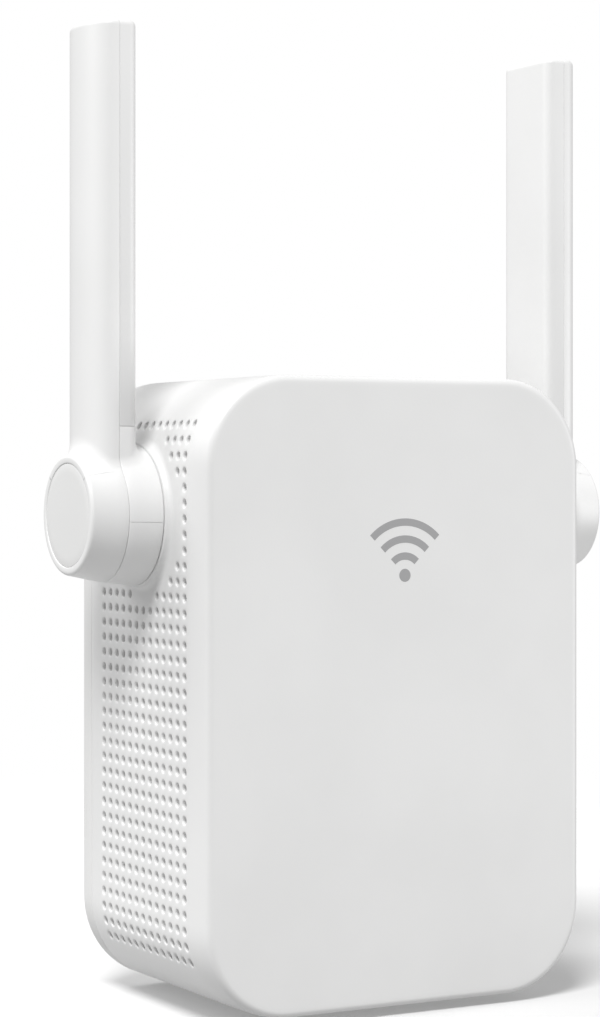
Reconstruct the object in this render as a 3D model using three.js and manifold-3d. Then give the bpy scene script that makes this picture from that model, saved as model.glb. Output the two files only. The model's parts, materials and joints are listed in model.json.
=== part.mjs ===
// A plug-in wifi range extender, in millimetres.
// +X is to the right seen from the front, +Y runs into the wall and +Z is up. The origin is
// the middle of the rear face that meets the outlet, midway between the two plug blades.
import * as THREE from "three";
import { mergeVertices } from "three/addons/utils/BufferGeometryUtils.js";
import Module from "manifold-3d";

const wasm = await Module();
wasm.setup();

// ---------------------------------------------------------------- driving dimensions
const GAP = 0.3; // clearance between pieces that touch on the real object
const ROUND = 28; // sides of a large round piece
const SMALL_ROUND = 10; // sides of a small round piece
const POST_ROUND = 14; // sides of a post or a screw head
const BORE_ROUND = 16; // sides of a hole through a blade or a shaft
const HEXAGON = 6; // sides of a screw's drive
const BEYOND = 1; // how far a cutter runs past the face it cuts

const OVERLAP = 0.5; // how far a joined piece runs into its neighbour
const BARELY = 0.01; // a bevel too small to matter, for a square edge
const MERGE_DISTANCE = 1e-4; // vertices nearer than this are one

const HOUSING = {
  halfWidth: 28.6,
  top: 20.5,
  bottom: -61,
  front: -36.8,
  corner: 11.75,
  frontEdge: 2.5,
  wall: 1.8,
};
const COVER = { thickness: 2, rim: -3.1, edge: 1.2, lip: 1.2, lipEnd: -5.8 };
const CATCH = { x: [8, 14], y: [-5.2, -4.2], height: 0.4, pocket: 0.9 };
const LABEL = { halfWidth: 16, z: [-44, -20], depth: 0.25 };
const HINGE = {
  y: -18.5,
  z: 2.6,
  flangeRadius: 9.5,
  flangeEnd: 29.5,
  flangeEndRadius: 9.25,
  knuckleRadius: 9.2,
  seam: 34.2,
  seamRadius: 8.7,
  end: 39,
  endRadius: 7.8,
  edge: 0.6,
  hollow: 5.4,
  hollowFrom: 32.1,
};
const CAP = { radius: 6.55, recessRadius: 6.85, recessFrom: 37.2, from: 37.5, to: 38.6, edge: 0.25 };
const SHAFT = { radius: 4, bore: 2, end: 21.8, edge: 0.4, groove: 3.3, grooveFrom: 22.8, grooveTo: 24.2 };
const BOSS = { radius: 6.8, end: 25.1 };
const CLIP = { inner: 3.6, outer: 6, from: 23.15, to: 23.85, mouth: 3 };
const WASHER = { inner: 4.3, outer: 6.5, from: 24.25, to: 24.8 };
const BLADE = {
  halfWidth: 5.75,
  outerThickness: 3.3,
  innerThickness: 2.7,
  top: 63.4,
  crossSeam: 11.4,
  topEdge: 1,
  outerPower: 2.4,
  innerCorner: 1.4,
};
const ELEMENT = { halfWidth: 3.2, thickness: 0.8, from: 12.6, to: 59.4, channel: 1.1, margin: 0.4 };
const COAX = {
  radius: 0.7,
  sides: 8,
  slotHalfWidth: 1.5,
  slotDepth: 1.3,
  end: 20,
  stepsInAntenna: 15,
  stepsInHousing: 9,
};
const COAX_PLUG = { radius: 1.3, height: 1.2, x: 16, z: 3.8 };

const PLUG = { spacing: 12.7, thickness: 1.5, width: 6.35, length: 17, tipLength: 1.6, tipInset: 1.3 };
const PLUG_HOLE = { radius: 1.6, fromFace: 11.9 };
const INSULATOR = { halfWidth: 12, halfHeight: 8, flange: 2, flangeY: [-2.3, -3.8], end: -6.5 };
const BLADE_TAIL = { width: 3.4, end: -10.8 };

const POWER_BOARD = { rear: -8.2, front: -9.8, halfWidth: 24, bottom: -48.5, top: 13 };
const TRANSFORMER = { x: [-13, 4], z: [-36, -20], limb: 2.5, coreFrom: 3.5, coreTo: 9, height: 12.5 };
const BULK_CAPACITOR = { radius: 4, z: [-42.5, -27.5], lift: 0.1, places: { inner: 10.2, outer: 19.4 } };
const OUTPUT_CAPACITOR = { radius: 3.2, height: 11, x: -18.5, z: -41 };
const CHOKE = { x: 10, z: -17, radius: 3.4, flangeRadius: 4.5, flange: 1.2, height: 8 };
const RECTIFIER = { x: [-3, 3], z: [-12, -7], height: 2.5 };
const FUSE = { x: [-15, -7], z: -10, radius: 1.8, lift: 0.1 };
const SAFETY_CAPACITOR = { x: [-3.5, 3.5], z: [5.5, 10.5], height: 9 };

const MAIN_BOARD = { rear: -27.2, front: -28.4, halfWidth: 25, bottom: -57.5, top: 14.2, notch: 0.5 };
const PROCESSOR = { x: [-7, 7], z: [-27, -13], height: 1.1 };
const SHIELD = { x: [-16, 16], z: [-34, -6], height: 2.2, wall: 0.4 };
const SPREADER = { x: [-15, 15], z: [-33, -7], from: 2.5, to: 3.5 };
const SHEET = { x: [-23, 18.5], y: [-26.3, -25.9], z: [-41, -9] };
const SHEET_OPENING = { x: [-20.5, -15.5], z: [-33.5, -24.5] };
const HEADER = { x: [-19.5, -16.5], z: [-33, -25] };

const SCREW = { head: 2.3, headHeight: 0.9, shank: 1, hole: 1.3, drive: 1.035, driveDepth: 0.5 };
const POST = { x: 20.5, z: -52.5, radius: 3.2, end: -2.3, pilotEnd: -11 };
const COVER_SCREW = { headFace: -0.2, bore: 2.7, boreDepth: 1.4, end: -9.5 };
const MAIN_SCREW = { x: 20.5, z: 11.2, standoff: 2.6, end: -31.3 };
const POWER_SCREW = { x: 20, z: -18, standoff: 2.6, end: -4 };

const JACK = { halfWidth: 8, rear: -13.8, face: -60.7, top: -44 };
const PORT = { halfWidth: 5.85, front: -24, rear: -17.2, depth: 13 };
const LATCH = { halfWidth: 3.1, rear: -15.3, depth: 10 };

const CONTROLS_Y = -25; // centre line of the button, windows and pinhole in the right side
const BUTTON = {
  z: -16,
  halfWidth: 2.2,
  halfHeight: 4,
  proud: 0.5,
  edge: 0.3,
  flange: 0.9,
  flangeFrom: 25.7,
};
const LEDS = { first: -24, pitch: -5, names: ["power", "signal", "low_band", "high_band"] };
const LED = { x: [23.4, 24.9], halfHeight: 0.8, height: 0.9 };
const WINDOW = { halfWidth: 0.8, halfHeight: 1.5 };
const LIGHT_BAR = { from: 25.3, to: 26.4, beyondLeds: 2, beyondWindows: 0.4 };
const PINHOLE = { z: -46, radius: 0.8 };
const WPS_SWITCH = { x: [19.3, 24.1], height: 4.4, halfHeight: 3, pocket: 1.5, pocketDepth: 1.7 };
const WPS_STEM = { radius: 1.2, from: 23.2 };
const RESET_SWITCH = { x: [20.5, 24.7], height: 3.3, halfHeight: 2, pocket: 1, pocketDepth: 1.7 };
const RESET_STEM = { radius: 0.7, x: [23.6, 25.9] };

// ---------------------------------------------------------------- materials
function material(color, roughness, metalness = 0) {
  return new THREE.MeshStandardMaterial({ color, roughness, metalness });
}
const WHITE_SHELL = () => material(0xf1f1ef, 0.55);
const WHITE_SATIN = () => material(0xf3f3f1, 0.4);
const WHITE_CAP = () => material(0xececea, 0.45);
const WHITE_BASE = () => material(0xe9e9e6, 0.6);
const BOARD_GREEN = () => material(0x1f5a38, 0.5);
const BLACK_PLASTIC = () => material(0x1c1c1e, 0.5);
const STEEL = () => material(0xb9bcc0, 0.35, 1);
const NICKEL = () => material(0xd0ccc2, 0.25, 1);
const ALUMINIUM = () => material(0xc4c7ca, 0.4, 1);
const FERRITE = () => material(0x3a3a3d, 0.7);
const YELLOW_TAPE = () => material(0xd8b43a, 0.45);
const CAPACITOR_SLEEVE = () => material(0x26272b, 0.4);
const CERAMIC_BLUE = () => material(0x3466a5, 0.5);
const FUSE_BODY = () => material(0x4f7f52, 0.5);
const CLEAR_PLASTIC = () => material(0xe6ebee, 0.2);
const LED_PLASTIC = () => material(0xf4ecb8, 0.3);
const SHEET_FILM = () => material(0xd9d4c4, 0.5);
const CABLE_GREY = () => material(0x55575b, 0.5);
const COPPER_BOARD = () => material(0x7a5a2a, 0.45);

// ---------------------------------------------------------------- solids
// A closed three.js geometry as a solid that can be cut and joined.
function solid(geometry) {
  const bare = geometry.index ? geometry.toNonIndexed() : geometry.clone();
  bare.deleteAttribute("normal");
  bare.deleteAttribute("uv");
  const merged = mergeVertices(bare, MERGE_DISTANCE);
  const mesh = new wasm.Mesh({
    numProp: 3,
    vertProperties: merged.attributes.position.array,
    triVerts: new Uint32Array(merged.index.array),
  });
  return new wasm.Manifold(mesh);
}

// The solid as a three.js geometry.
function geometryOf(made) {
  const mesh = made.getMesh();
  const geometry = new THREE.BufferGeometry();
  geometry.setAttribute("position", new THREE.BufferAttribute(mesh.vertProperties, 3));
  geometry.setIndex(new THREE.BufferAttribute(mesh.triVerts, 1));
  geometry.computeVertexNormals();
  return geometry;
}

function join(...solids) {
  return solids.reduce((whole, piece) => whole.add(piece));
}

function cut(whole, ...cutters) {
  return cutters.reduce((rest, cutter) => rest.subtract(cutter), whole);
}

// A box from its limits along each axis, in either order.
function box([x0, x1], [y0, y1], [z0, z1]) {
  const geometry = new THREE.BoxGeometry(Math.abs(x1 - x0), Math.abs(y1 - y0), Math.abs(z1 - z0));
  return solid(geometry.translate((x0 + x1) / 2, (y0 + y1) / 2, (z0 + z1) / 2));
}

// A cylinder along X at (y, z).
function rodX(radius, [x0, x1], y, z, sides = ROUND) {
  const geometry = new THREE.CylinderGeometry(radius, radius, Math.abs(x1 - x0), sides);
  return solid(geometry.rotateZ(-Math.PI / 2).translate((x0 + x1) / 2, y, z));
}

// A cylinder along Y at (x, z).
function rodY(radius, [y0, y1], x, z, sides = SMALL_ROUND) {
  const geometry = new THREE.CylinderGeometry(radius, radius, Math.abs(y1 - y0), sides);
  return solid(geometry.translate(x, (y0 + y1) / 2, z));
}

// A cylinder along Z at (x, y).
function rodZ(radius, [z0, z1], x, y, sides = SMALL_ROUND) {
  const geometry = new THREE.CylinderGeometry(radius, radius, Math.abs(z1 - z0), sides);
  return solid(geometry.rotateX(Math.PI / 2).translate(x, y, (z0 + z1) / 2));
}

// A solid of revolution about the X axis through (y, z), from [radius, x] points.
function turnedX(profile, y, z, sides = ROUND) {
  const points = profile.map(([radius, x]) => new THREE.Vector2(radius, x));
  return solid(new THREE.LatheGeometry(points, sides).rotateZ(-Math.PI / 2).translate(0, y, z));
}

// A rectangle with round corners as a shape.
function roundedRectangle(halfWidth, halfHeight, radius) {
  const shape = new THREE.Shape();
  const x = halfWidth - radius;
  const y = halfHeight - radius;
  shape.absarc(x, y, radius, 0, Math.PI / 2);
  shape.absarc(-x, y, radius, Math.PI / 2, Math.PI);
  shape.absarc(-x, -y, radius, Math.PI, 1.5 * Math.PI);
  shape.absarc(x, -y, radius, 1.5 * Math.PI, 2 * Math.PI);
  shape.closePath();
  return shape;
}

// A shape drawn in (y, z) and pushed along X.
function extrudedX(shape, [x0, x1], curveSegments = 4) {
  const settings = { depth: x1 - x0, bevelEnabled: false, curveSegments };
  const turn = new THREE.Matrix4().makeBasis(
    new THREE.Vector3(0, 1, 0),
    new THREE.Vector3(0, 0, 1),
    new THREE.Vector3(1, 0, 0),
  );
  return solid(new THREE.ExtrudeGeometry(shape, settings).applyMatrix4(turn).translate(x0, 0, 0));
}

// An upright bar with half-round ends on the controls' centre line, pushed along X.
function sideBar(halfWidth, halfHeight, [x0, x1], z) {
  const shape = new THREE.Shape();
  const straight = halfHeight - halfWidth;
  shape.absarc(0, straight, halfWidth, 0, Math.PI);
  shape.absarc(0, -straight, halfWidth, Math.PI, 2 * Math.PI);
  shape.closePath();
  return extrudedX(shape, [x0, x1], 8).translate([0, CONTROLS_Y, z]);
}

// A screw along Y: its head's outer face is at `face` and its tip at `end`.
function screw(x, z, face, end) {
  const direction = Math.sign(end - face);
  const under = face + direction * SCREW.headHeight;
  const driveEnd = face + direction * SCREW.driveDepth;
  const drive = rodY(SCREW.drive, [face - direction * BEYOND, driveEnd], x, z, HEXAGON);
  return cut(
    join(
      rodY(SCREW.head, [face, under], x, z, POST_ROUND),
      rodY(SCREW.shank, [under - direction * OVERLAP, end], x, z),
    ),
    drive,
  );
}

// ---------------------------------------------------------------- scene graph
const root = new THREE.Group();

function add(parent, name, made, paint) {
  const mesh = new THREE.Mesh(geometryOf(made), paint);
  mesh.name = name;
  parent.add(mesh);
  return mesh;
}

// ---------------------------------------------------------------- housing
const CENTRE_Z = (HOUSING.top + HOUSING.bottom) / 2;
const HALF_HEIGHT = (HOUSING.top - HOUSING.bottom) / 2;
const INNER_X = HOUSING.halfWidth - HOUSING.wall;
const INNER_FRONT = HOUSING.front + HOUSING.wall;
const COVER_INNER = -COVER.thickness;

// The housing's outline, inset all round, from one Y to another. The edge round the end at
// `edgeAt` is rounded with the radius `edge`.
function housingPrism(inset, [rear, front], edge, edgeAt) {
  const shape = roundedRectangle(
    HOUSING.halfWidth - inset - edge,
    HALF_HEIGHT - inset - edge,
    HOUSING.corner - inset - edge,
  );
  const spare = edge + BEYOND;
  const settings = {
    depth: rear - front - edge + spare,
    bevelSize: edge,
    bevelThickness: edge,
    bevelSegments: edge > 1 ? 3 : 1,
    curveSegments: 6,
  };
  const start = edgeAt === "front" ? rear + spare : rear - edge;
  const geometry = new THREE.ExtrudeGeometry(shape, settings).rotateX(Math.PI / 2);
  const bar = solid(geometry.translate(0, start, CENTRE_Z));
  const wide = HOUSING.halfWidth + BEYOND;
  const tall = [HOUSING.bottom - BEYOND, HOUSING.top + BEYOND];
  return bar.intersect(box([-wide, wide], [rear, front], tall));
}

function hingeOpening(side) {
  const inWall = HOUSING.halfWidth - HOUSING.wall / 2;
  const flange = turnedX(
    [
      [0, inWall],
      [HINGE.flangeRadius, inWall],
      [HINGE.flangeRadius, HOUSING.halfWidth],
      [HINGE.flangeEndRadius, HINGE.flangeEnd],
      [0, HINGE.flangeEnd],
    ],
    HINGE.y,
    HINGE.z,
  );
  const boss = rodX(BOSS.radius, [BOSS.end, inWall], HINGE.y, HINGE.z);
  const bore = rodX(SHAFT.radius + GAP, [BOSS.end - BEYOND, HINGE.end], HINGE.y, HINGE.z);
  const turned = (made) => (side > 0 ? made : made.mirror([1, 0, 0]));
  return { ring: turned(join(flange, boss)), bore: turned(bore) };
}

function frontShell() {
  const rear = COVER.rim - GAP;
  const outer = housingPrism(0, [rear, HOUSING.front], HOUSING.frontEdge, "front");
  const innerEdge = HOUSING.frontEdge - HOUSING.wall;
  const inner = housingPrism(HOUSING.wall, [rear + BEYOND, INNER_FRONT], innerEdge, "front");
  const postFrom = INNER_FRONT - OVERLAP;
  const ceiling = HOUSING.top - HOUSING.wall;
  let shell = cut(outer, inner);
  for (const side of [-1, 1]) {
    const hinge = hingeOpening(side);
    const post = rodY(POST.radius, [postFrom, POST.end], side * POST.x, POST.z, POST_ROUND);
    const pilot = rodY(SCREW.hole, [POST.end + BEYOND, POST.pilotEnd], side * POST.x, POST.z);
    const standoffEnd = MAIN_BOARD.front - GAP;
    const standoff = rodY(
      MAIN_SCREW.standoff,
      [postFrom, standoffEnd],
      side * MAIN_SCREW.x,
      MAIN_SCREW.z,
      POST_ROUND,
    );
    const standoffPilot = rodY(
      SCREW.hole,
      [standoffEnd + BEYOND, MAIN_SCREW.end - GAP],
      side * MAIN_SCREW.x,
      MAIN_SCREW.z,
    );
    const catchPocket = box(
      [side * (CATCH.x[0] - GAP), side * (CATCH.x[1] + GAP)],
      [CATCH.y[0] - GAP, CATCH.y[1] + GAP],
      [ceiling - BEYOND, ceiling + CATCH.pocket],
    );
    shell = join(shell, hinge.ring, post, standoff);
    shell = cut(shell, hinge.bore, pilot, standoffPilot, catchPocket);
  }
  const portHole = box(
    [-JACK.halfWidth - GAP, JACK.halfWidth + GAP],
    [MAIN_BOARD.rear, JACK.rear + GAP],
    [HOUSING.bottom - BEYOND, HOUSING.bottom + HOUSING.wall + BEYOND],
  );
  const through = [INNER_X - BEYOND, HOUSING.halfWidth + BEYOND];
  const buttonHole = sideBar(BUTTON.halfWidth + GAP, BUTTON.halfHeight + GAP, through, BUTTON.z);
  const pinhole = rodX(PINHOLE.radius, through, CONTROLS_Y, PINHOLE.z, SMALL_ROUND);
  shell = cut(shell, portHole, buttonHole, pinhole);
  LEDS.names.forEach((_, index) => {
    const z = LEDS.first + index * LEDS.pitch;
    shell = cut(
      shell,
      sideBar(WINDOW.halfWidth + GAP, WINDOW.halfHeight + GAP, through, z),
    );
  });
  return shell;
}

function rearCover() {
  let cover = housingPrism(0, [0, COVER.rim], COVER.edge, "rear");
  const lipInset = HOUSING.wall + GAP;
  const hollowEnd = COVER.lipEnd - BEYOND;
  cover = join(cover, housingPrism(lipInset, [COVER_INNER, COVER.lipEnd], BARELY, "front"));
  cover = cut(cover, housingPrism(lipInset + COVER.lip, [COVER_INNER, hollowEnd], BARELY, "front"));
  const well = [BEYOND, INSULATOR.end];
  const plugHole = box(
    [-INSULATOR.halfWidth - GAP, INSULATOR.halfWidth + GAP],
    well,
    [-INSULATOR.halfHeight - GAP, INSULATOR.halfHeight + GAP],
  );
  const labelRecess = box([-LABEL.halfWidth, LABEL.halfWidth], [BEYOND, -LABEL.depth], LABEL.z);
  cover = cut(cover, plugHole, labelRecess);
  for (const side of [-1, 1]) {
    const x = side * POST.x;
    const standoff = rodY(
      POWER_SCREW.standoff,
      [COVER_INNER + OVERLAP, POWER_BOARD.rear + GAP],
      side * POWER_SCREW.x,
      POWER_SCREW.z,
      POST_ROUND,
    );
    const standoffPilot = rodY(
      SCREW.hole,
      [POWER_SCREW.end + GAP, POWER_BOARD.rear - BEYOND],
      side * POWER_SCREW.x,
      POWER_SCREW.z,
    );
    const catchLug = box(
      [side * CATCH.x[0], side * CATCH.x[1]],
      CATCH.y,
      [HOUSING.top - lipInset - OVERLAP, HOUSING.top - HOUSING.wall + CATCH.height],
    );
    cover = join(cover, standoff, catchLug);
    cover = cut(
      cover,
      rodY(COVER_SCREW.bore, [BEYOND, -COVER_SCREW.boreDepth], x, POST.z, POST_ROUND),
      rodY(SCREW.hole, [BEYOND, COVER_INNER - BEYOND], x, POST.z),
      standoffPilot,
    );
  }
  return cover;
}

add(root, "front_shell", frontShell(), WHITE_SHELL());
add(root, "rear_cover", rearCover(), WHITE_BASE());

// ---------------------------------------------------------------- mains plug
function plugBlade() {
  const half = PLUG.width / 2;
  const tail = BLADE_TAIL.width / 2;
  const shoulder = INSULATOR.end - GAP;
  const outline = new THREE.Shape();
  outline.moveTo(BLADE_TAIL.end, -tail);
  outline.lineTo(shoulder, -tail);
  outline.lineTo(shoulder, -half);
  outline.lineTo(PLUG.length - PLUG.tipLength, -half);
  outline.lineTo(PLUG.length, PLUG.tipInset - half);
  outline.lineTo(PLUG.length, half - PLUG.tipInset);
  outline.lineTo(PLUG.length - PLUG.tipLength, half);
  outline.lineTo(shoulder, half);
  outline.lineTo(shoulder, tail);
  outline.lineTo(BLADE_TAIL.end, tail);
  outline.closePath();
  const blade = extrudedX(outline, [-PLUG.thickness / 2, PLUG.thickness / 2]);
  const through = [-PLUG.thickness, PLUG.thickness];
  const hole = rodX(PLUG_HOLE.radius, through, PLUG_HOLE.fromFace, 0, BORE_ROUND);
  return cut(blade, hole);
}

function plugInsulator() {
  const { halfWidth, halfHeight, flange, flangeY, end } = INSULATOR;
  const block = box([-halfWidth, halfWidth], [0, end], [-halfHeight, halfHeight]);
  const collar = box(
    [-halfWidth - flange, halfWidth + flange],
    flangeY,
    [-halfHeight - flange, halfHeight + flange],
  );
  const slots = [-1, 1].map((side) =>
    box(
      [
        side * (PLUG.spacing / 2) - PLUG.thickness / 2 - GAP,
        side * (PLUG.spacing / 2) + PLUG.thickness / 2 + GAP,
      ],
      [BEYOND, end - BEYOND],
      [-PLUG.width / 2 - GAP, PLUG.width / 2 + GAP],
    ),
  );
  return cut(join(block, collar), ...slots);
}

add(root, "plug_insulator", plugInsulator(), WHITE_BASE());
for (const [name, side] of [["left", -1], ["right", 1]]) {
  const blade = add(root, "plug_blade_" + name, plugBlade(), NICKEL());
  blade.position.x = (side * PLUG.spacing) / 2;
}

// ---------------------------------------------------------------- power supply
// Pieces on the power board stand on its front face.
const ON_POWER = POWER_BOARD.front - GAP;

function powerBoard() {
  const { rear, front, halfWidth, bottom, top } = POWER_BOARD;
  const tailSlots = [-1, 1].map((side) =>
    box(
      [
        side * (PLUG.spacing / 2) - PLUG.thickness / 2 - GAP,
        side * (PLUG.spacing / 2) + PLUG.thickness / 2 + GAP,
      ],
      [rear + BEYOND, front - BEYOND],
      [-BLADE_TAIL.width / 2 - GAP, BLADE_TAIL.width / 2 + GAP],
    ),
  );
  const screwHoles = [-1, 1].map((side) =>
    rodY(SCREW.hole, [rear + BEYOND, front - BEYOND], side * POWER_SCREW.x, POWER_SCREW.z),
  );
  return cut(
    box([-halfWidth, halfWidth], [rear, front], [bottom, top]),
    ...tailSlots,
    ...screwHoles,
  );
}

// A box that stands on the power board.
function onPower(x, height, z) {
  return box(x, [ON_POWER, ON_POWER - height], z);
}

// A range drawn in at both ends.
function shrunk([low, high], inset) {
  return [low + inset, high - inset];
}

function transformerCore() {
  const { x, z, limb, coreFrom, coreTo, height } = TRANSFORMER;
  const ring = box(x, [ON_POWER - coreFrom, ON_POWER - coreTo], z);
  return cut(ring, onPower(shrunk(x, limb), height, shrunk(z, limb)));
}

function transformerWinding() {
  const { x, z, limb, height } = TRANSFORMER;
  return onPower(shrunk(x, limb + GAP), height, shrunk(z, limb + GAP));
}

function bulkCapacitor(x) {
  const { radius, z, lift } = BULK_CAPACITOR;
  return rodZ(radius, z, x, ON_POWER - radius - lift, POST_ROUND);
}

function outputCapacitor() {
  const { radius, height, x, z } = OUTPUT_CAPACITOR;
  return rodY(radius, [ON_POWER, ON_POWER - height], x, z, POST_ROUND);
}

function choke() {
  const { x, z, radius, flangeRadius, flange, height } = CHOKE;
  const top = ON_POWER - height;
  return join(
    rodY(flangeRadius, [ON_POWER, ON_POWER - flange], x, z, POST_ROUND),
    rodY(radius, [ON_POWER - flange / 2, top + flange / 2], x, z, POST_ROUND),
    rodY(flangeRadius, [top + flange, top], x, z, POST_ROUND),
  );
}

function fuse() {
  const { x, z, radius, lift } = FUSE;
  return rodX(radius, x, ON_POWER - radius - lift, z, BORE_ROUND);
}

add(root, "power_board", powerBoard(), BOARD_GREEN());
add(root, "transformer_core", transformerCore(), FERRITE());
add(root, "transformer_winding", transformerWinding(), YELLOW_TAPE());
for (const [name, x] of Object.entries(BULK_CAPACITOR.places)) {
  add(root, "bulk_capacitor_" + name, bulkCapacitor(x), CAPACITOR_SLEEVE());
}
add(root, "output_capacitor", outputCapacitor(), CAPACITOR_SLEEVE());
add(root, "choke", choke(), FERRITE());
add(
  root,
  "bridge_rectifier",
  onPower(RECTIFIER.x, RECTIFIER.height, RECTIFIER.z),
  BLACK_PLASTIC(),
);
add(root, "fuse", fuse(), FUSE_BODY());
add(
  root,
  "safety_capacitor",
  onPower(SAFETY_CAPACITOR.x, SAFETY_CAPACITOR.height, SAFETY_CAPACITOR.z),
  CERAMIC_BLUE(),
);

// ---------------------------------------------------------------- main board
const BEHIND_MAIN = MAIN_BOARD.rear + GAP; // pieces on the rear face of the main board
const BEFORE_MAIN = MAIN_BOARD.front - GAP; // pieces on its front face

function mainBoard() {
  const { rear, front, halfWidth, bottom, top, notch } = MAIN_BOARD;
  const through = [rear + BEYOND, front - BEYOND];
  const clear = POST.radius + notch;
  let board = box([-halfWidth, halfWidth], [rear, front], [bottom, top]);
  for (const side of [-1, 1]) {
    const cornerX = [side * (POST.x - clear), side * (halfWidth + BEYOND)];
    const corner = box(cornerX, through, [bottom - BEYOND, POST.z + clear]);
    const hole = rodY(SCREW.hole, through, side * MAIN_SCREW.x, MAIN_SCREW.z);
    board = cut(board, corner, hole);
  }
  return board;
}

function rfShield() {
  const { x, z, height, wall } = SHIELD;
  const inside = [BEFORE_MAIN + BEYOND, BEFORE_MAIN - height + wall];
  const can = box(x, [BEFORE_MAIN, BEFORE_MAIN - height], z);
  return cut(can, box(shrunk(x, wall), inside, shrunk(z, wall)));
}

function ethernetJack() {
  const body = box(
    [-JACK.halfWidth, JACK.halfWidth],
    [BEHIND_MAIN, JACK.rear],
    [JACK.face, JACK.top],
  );
  const mouth = box(
    [-PORT.halfWidth, PORT.halfWidth],
    [PORT.front, PORT.rear],
    [JACK.face - BEYOND, JACK.face + PORT.depth],
  );
  const latchSlot = box(
    [-LATCH.halfWidth, LATCH.halfWidth],
    [PORT.rear - BEYOND, LATCH.rear],
    [JACK.face - BEYOND, JACK.face + LATCH.depth],
  );
  return cut(body, mouth, latchSlot);
}

function insulatingSheet() {
  const through = [SHEET.y[0] - BEYOND, SHEET.y[1] + BEYOND];
  return cut(box(SHEET.x, SHEET.y, SHEET.z), box(SHEET_OPENING.x, through, SHEET_OPENING.z));
}

add(root, "main_board", mainBoard(), BOARD_GREEN());
add(
  root,
  "processor",
  box(PROCESSOR.x, [BEFORE_MAIN, BEFORE_MAIN - PROCESSOR.height], PROCESSOR.z),
  BLACK_PLASTIC(),
);
add(root, "rf_shield", rfShield(), STEEL());
add(
  root,
  "heat_spreader",
  box(SPREADER.x, [BEFORE_MAIN - SPREADER.from, BEFORE_MAIN - SPREADER.to], SPREADER.z),
  ALUMINIUM(),
);
add(root, "ethernet_jack", ethernetJack(), BLACK_PLASTIC());
add(root, "insulating_sheet", insulatingSheet(), SHEET_FILM());
add(root, "board_header", box(HEADER.x, [ON_POWER, BEHIND_MAIN], HEADER.z), BLACK_PLASTIC());

// ---------------------------------------------------------------- lights and buttons
function lightPipe() {
  const last = LEDS.first + (LEDS.names.length - 1) * LEDS.pitch;
  const y = [BEHIND_MAIN, CONTROLS_Y + WINDOW.halfWidth + LIGHT_BAR.beyondWindows];
  const z = [last - LIGHT_BAR.beyondLeds, LEDS.first + LIGHT_BAR.beyondLeds];
  const bar = box([LIGHT_BAR.from, LIGHT_BAR.to], y, z);
  const fingers = LEDS.names.map((_, index) =>
    sideBar(
      WINDOW.halfWidth,
      WINDOW.halfHeight,
      [LIGHT_BAR.to - OVERLAP, HOUSING.halfWidth],
      LEDS.first + index * LEDS.pitch,
    ),
  );
  return join(bar, ...fingers);
}

add(root, "light_pipe", lightPipe(), CLEAR_PLASTIC());
LEDS.names.forEach((name, index) => {
  const z = LEDS.first + index * LEDS.pitch;
  const height = [BEHIND_MAIN, BEHIND_MAIN + LED.height];
  const body = box(LED.x, height, [z - LED.halfHeight, z + LED.halfHeight]);
  add(root, "led_" + name, body, LED_PLASTIC());
});

// A side-pressed switch body with a round pocket for its stem.
function switchBody({ x, height, halfHeight, pocket, pocketDepth }, z) {
  const body = box(x, [BEHIND_MAIN, BEHIND_MAIN + height], [z - halfHeight, z + halfHeight]);
  const pocketX = [x[1] - pocketDepth, x[1] + BEYOND];
  return cut(body, rodX(pocket, pocketX, CONTROLS_Y, z, SMALL_ROUND));
}

function wpsButton() {
  const { z, halfWidth, halfHeight, proud, edge, flange, flangeFrom } = BUTTON;
  const face = HOUSING.halfWidth + proud;
  const flangeTo = INNER_X - GAP;
  return join(
    sideBar(halfWidth + flange, halfHeight + flange, [flangeFrom, flangeTo], z),
    sideBar(halfWidth, halfHeight, [flangeTo - OVERLAP, face - edge], z),
    sideBar(halfWidth - edge, halfHeight - edge, [face - OVERLAP, face], z),
  );
}

function switchStem(radius, x, z) {
  return rodX(radius, x, CONTROLS_Y, z, SMALL_ROUND);
}

const WPS_STEM_X = [WPS_STEM.from, BUTTON.flangeFrom - GAP];
add(root, "wps_button", wpsButton(), WHITE_CAP());
add(root, "wps_switch_body", switchBody(WPS_SWITCH, BUTTON.z), BLACK_PLASTIC());
add(root, "wps_switch_stem", switchStem(WPS_STEM.radius, WPS_STEM_X, BUTTON.z), STEEL());
add(root, "reset_switch_body", switchBody(RESET_SWITCH, PINHOLE.z), BLACK_PLASTIC());
add(
  root,
  "reset_switch_stem",
  switchStem(RESET_STEM.radius, RESET_STEM.x, PINHOLE.z),
  BLACK_PLASTIC(),
);

// ---------------------------------------------------------------- screws
for (const [name, side] of [["left", -1], ["right", 1]]) {
  const coverScrew = screw(side * POST.x, POST.z, COVER_SCREW.headFace, COVER_SCREW.end);
  const mainScrew = screw(
    side * MAIN_SCREW.x,
    MAIN_SCREW.z,
    BEHIND_MAIN + SCREW.headHeight,
    MAIN_SCREW.end,
  );
  const powerScrew = screw(
    side * POWER_SCREW.x,
    POWER_SCREW.z,
    ON_POWER - SCREW.headHeight,
    POWER_SCREW.end,
  );
  add(root, "cover_screw_" + name, coverScrew, STEEL());
  add(root, "main_board_screw_" + name, mainScrew, STEEL());
  add(root, "power_board_screw_" + name, powerScrew, STEEL());
}

// ---------------------------------------------------------------- antennas
// Antenna pieces are drawn for the right side about the hinge axis, which runs along X
// through y = 0 and z = 0. The left side is the mirror image.
const OUTER_SIDE = HINGE.seam + GAP / 2;
const INNER_SIDE = HINGE.seam - GAP / 2;
const BLADE_INSIDE = HINGE.seam - BLADE.innerThickness - BEYOND;
const ABOVE_BLADE = BLADE.top + BEYOND;

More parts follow.
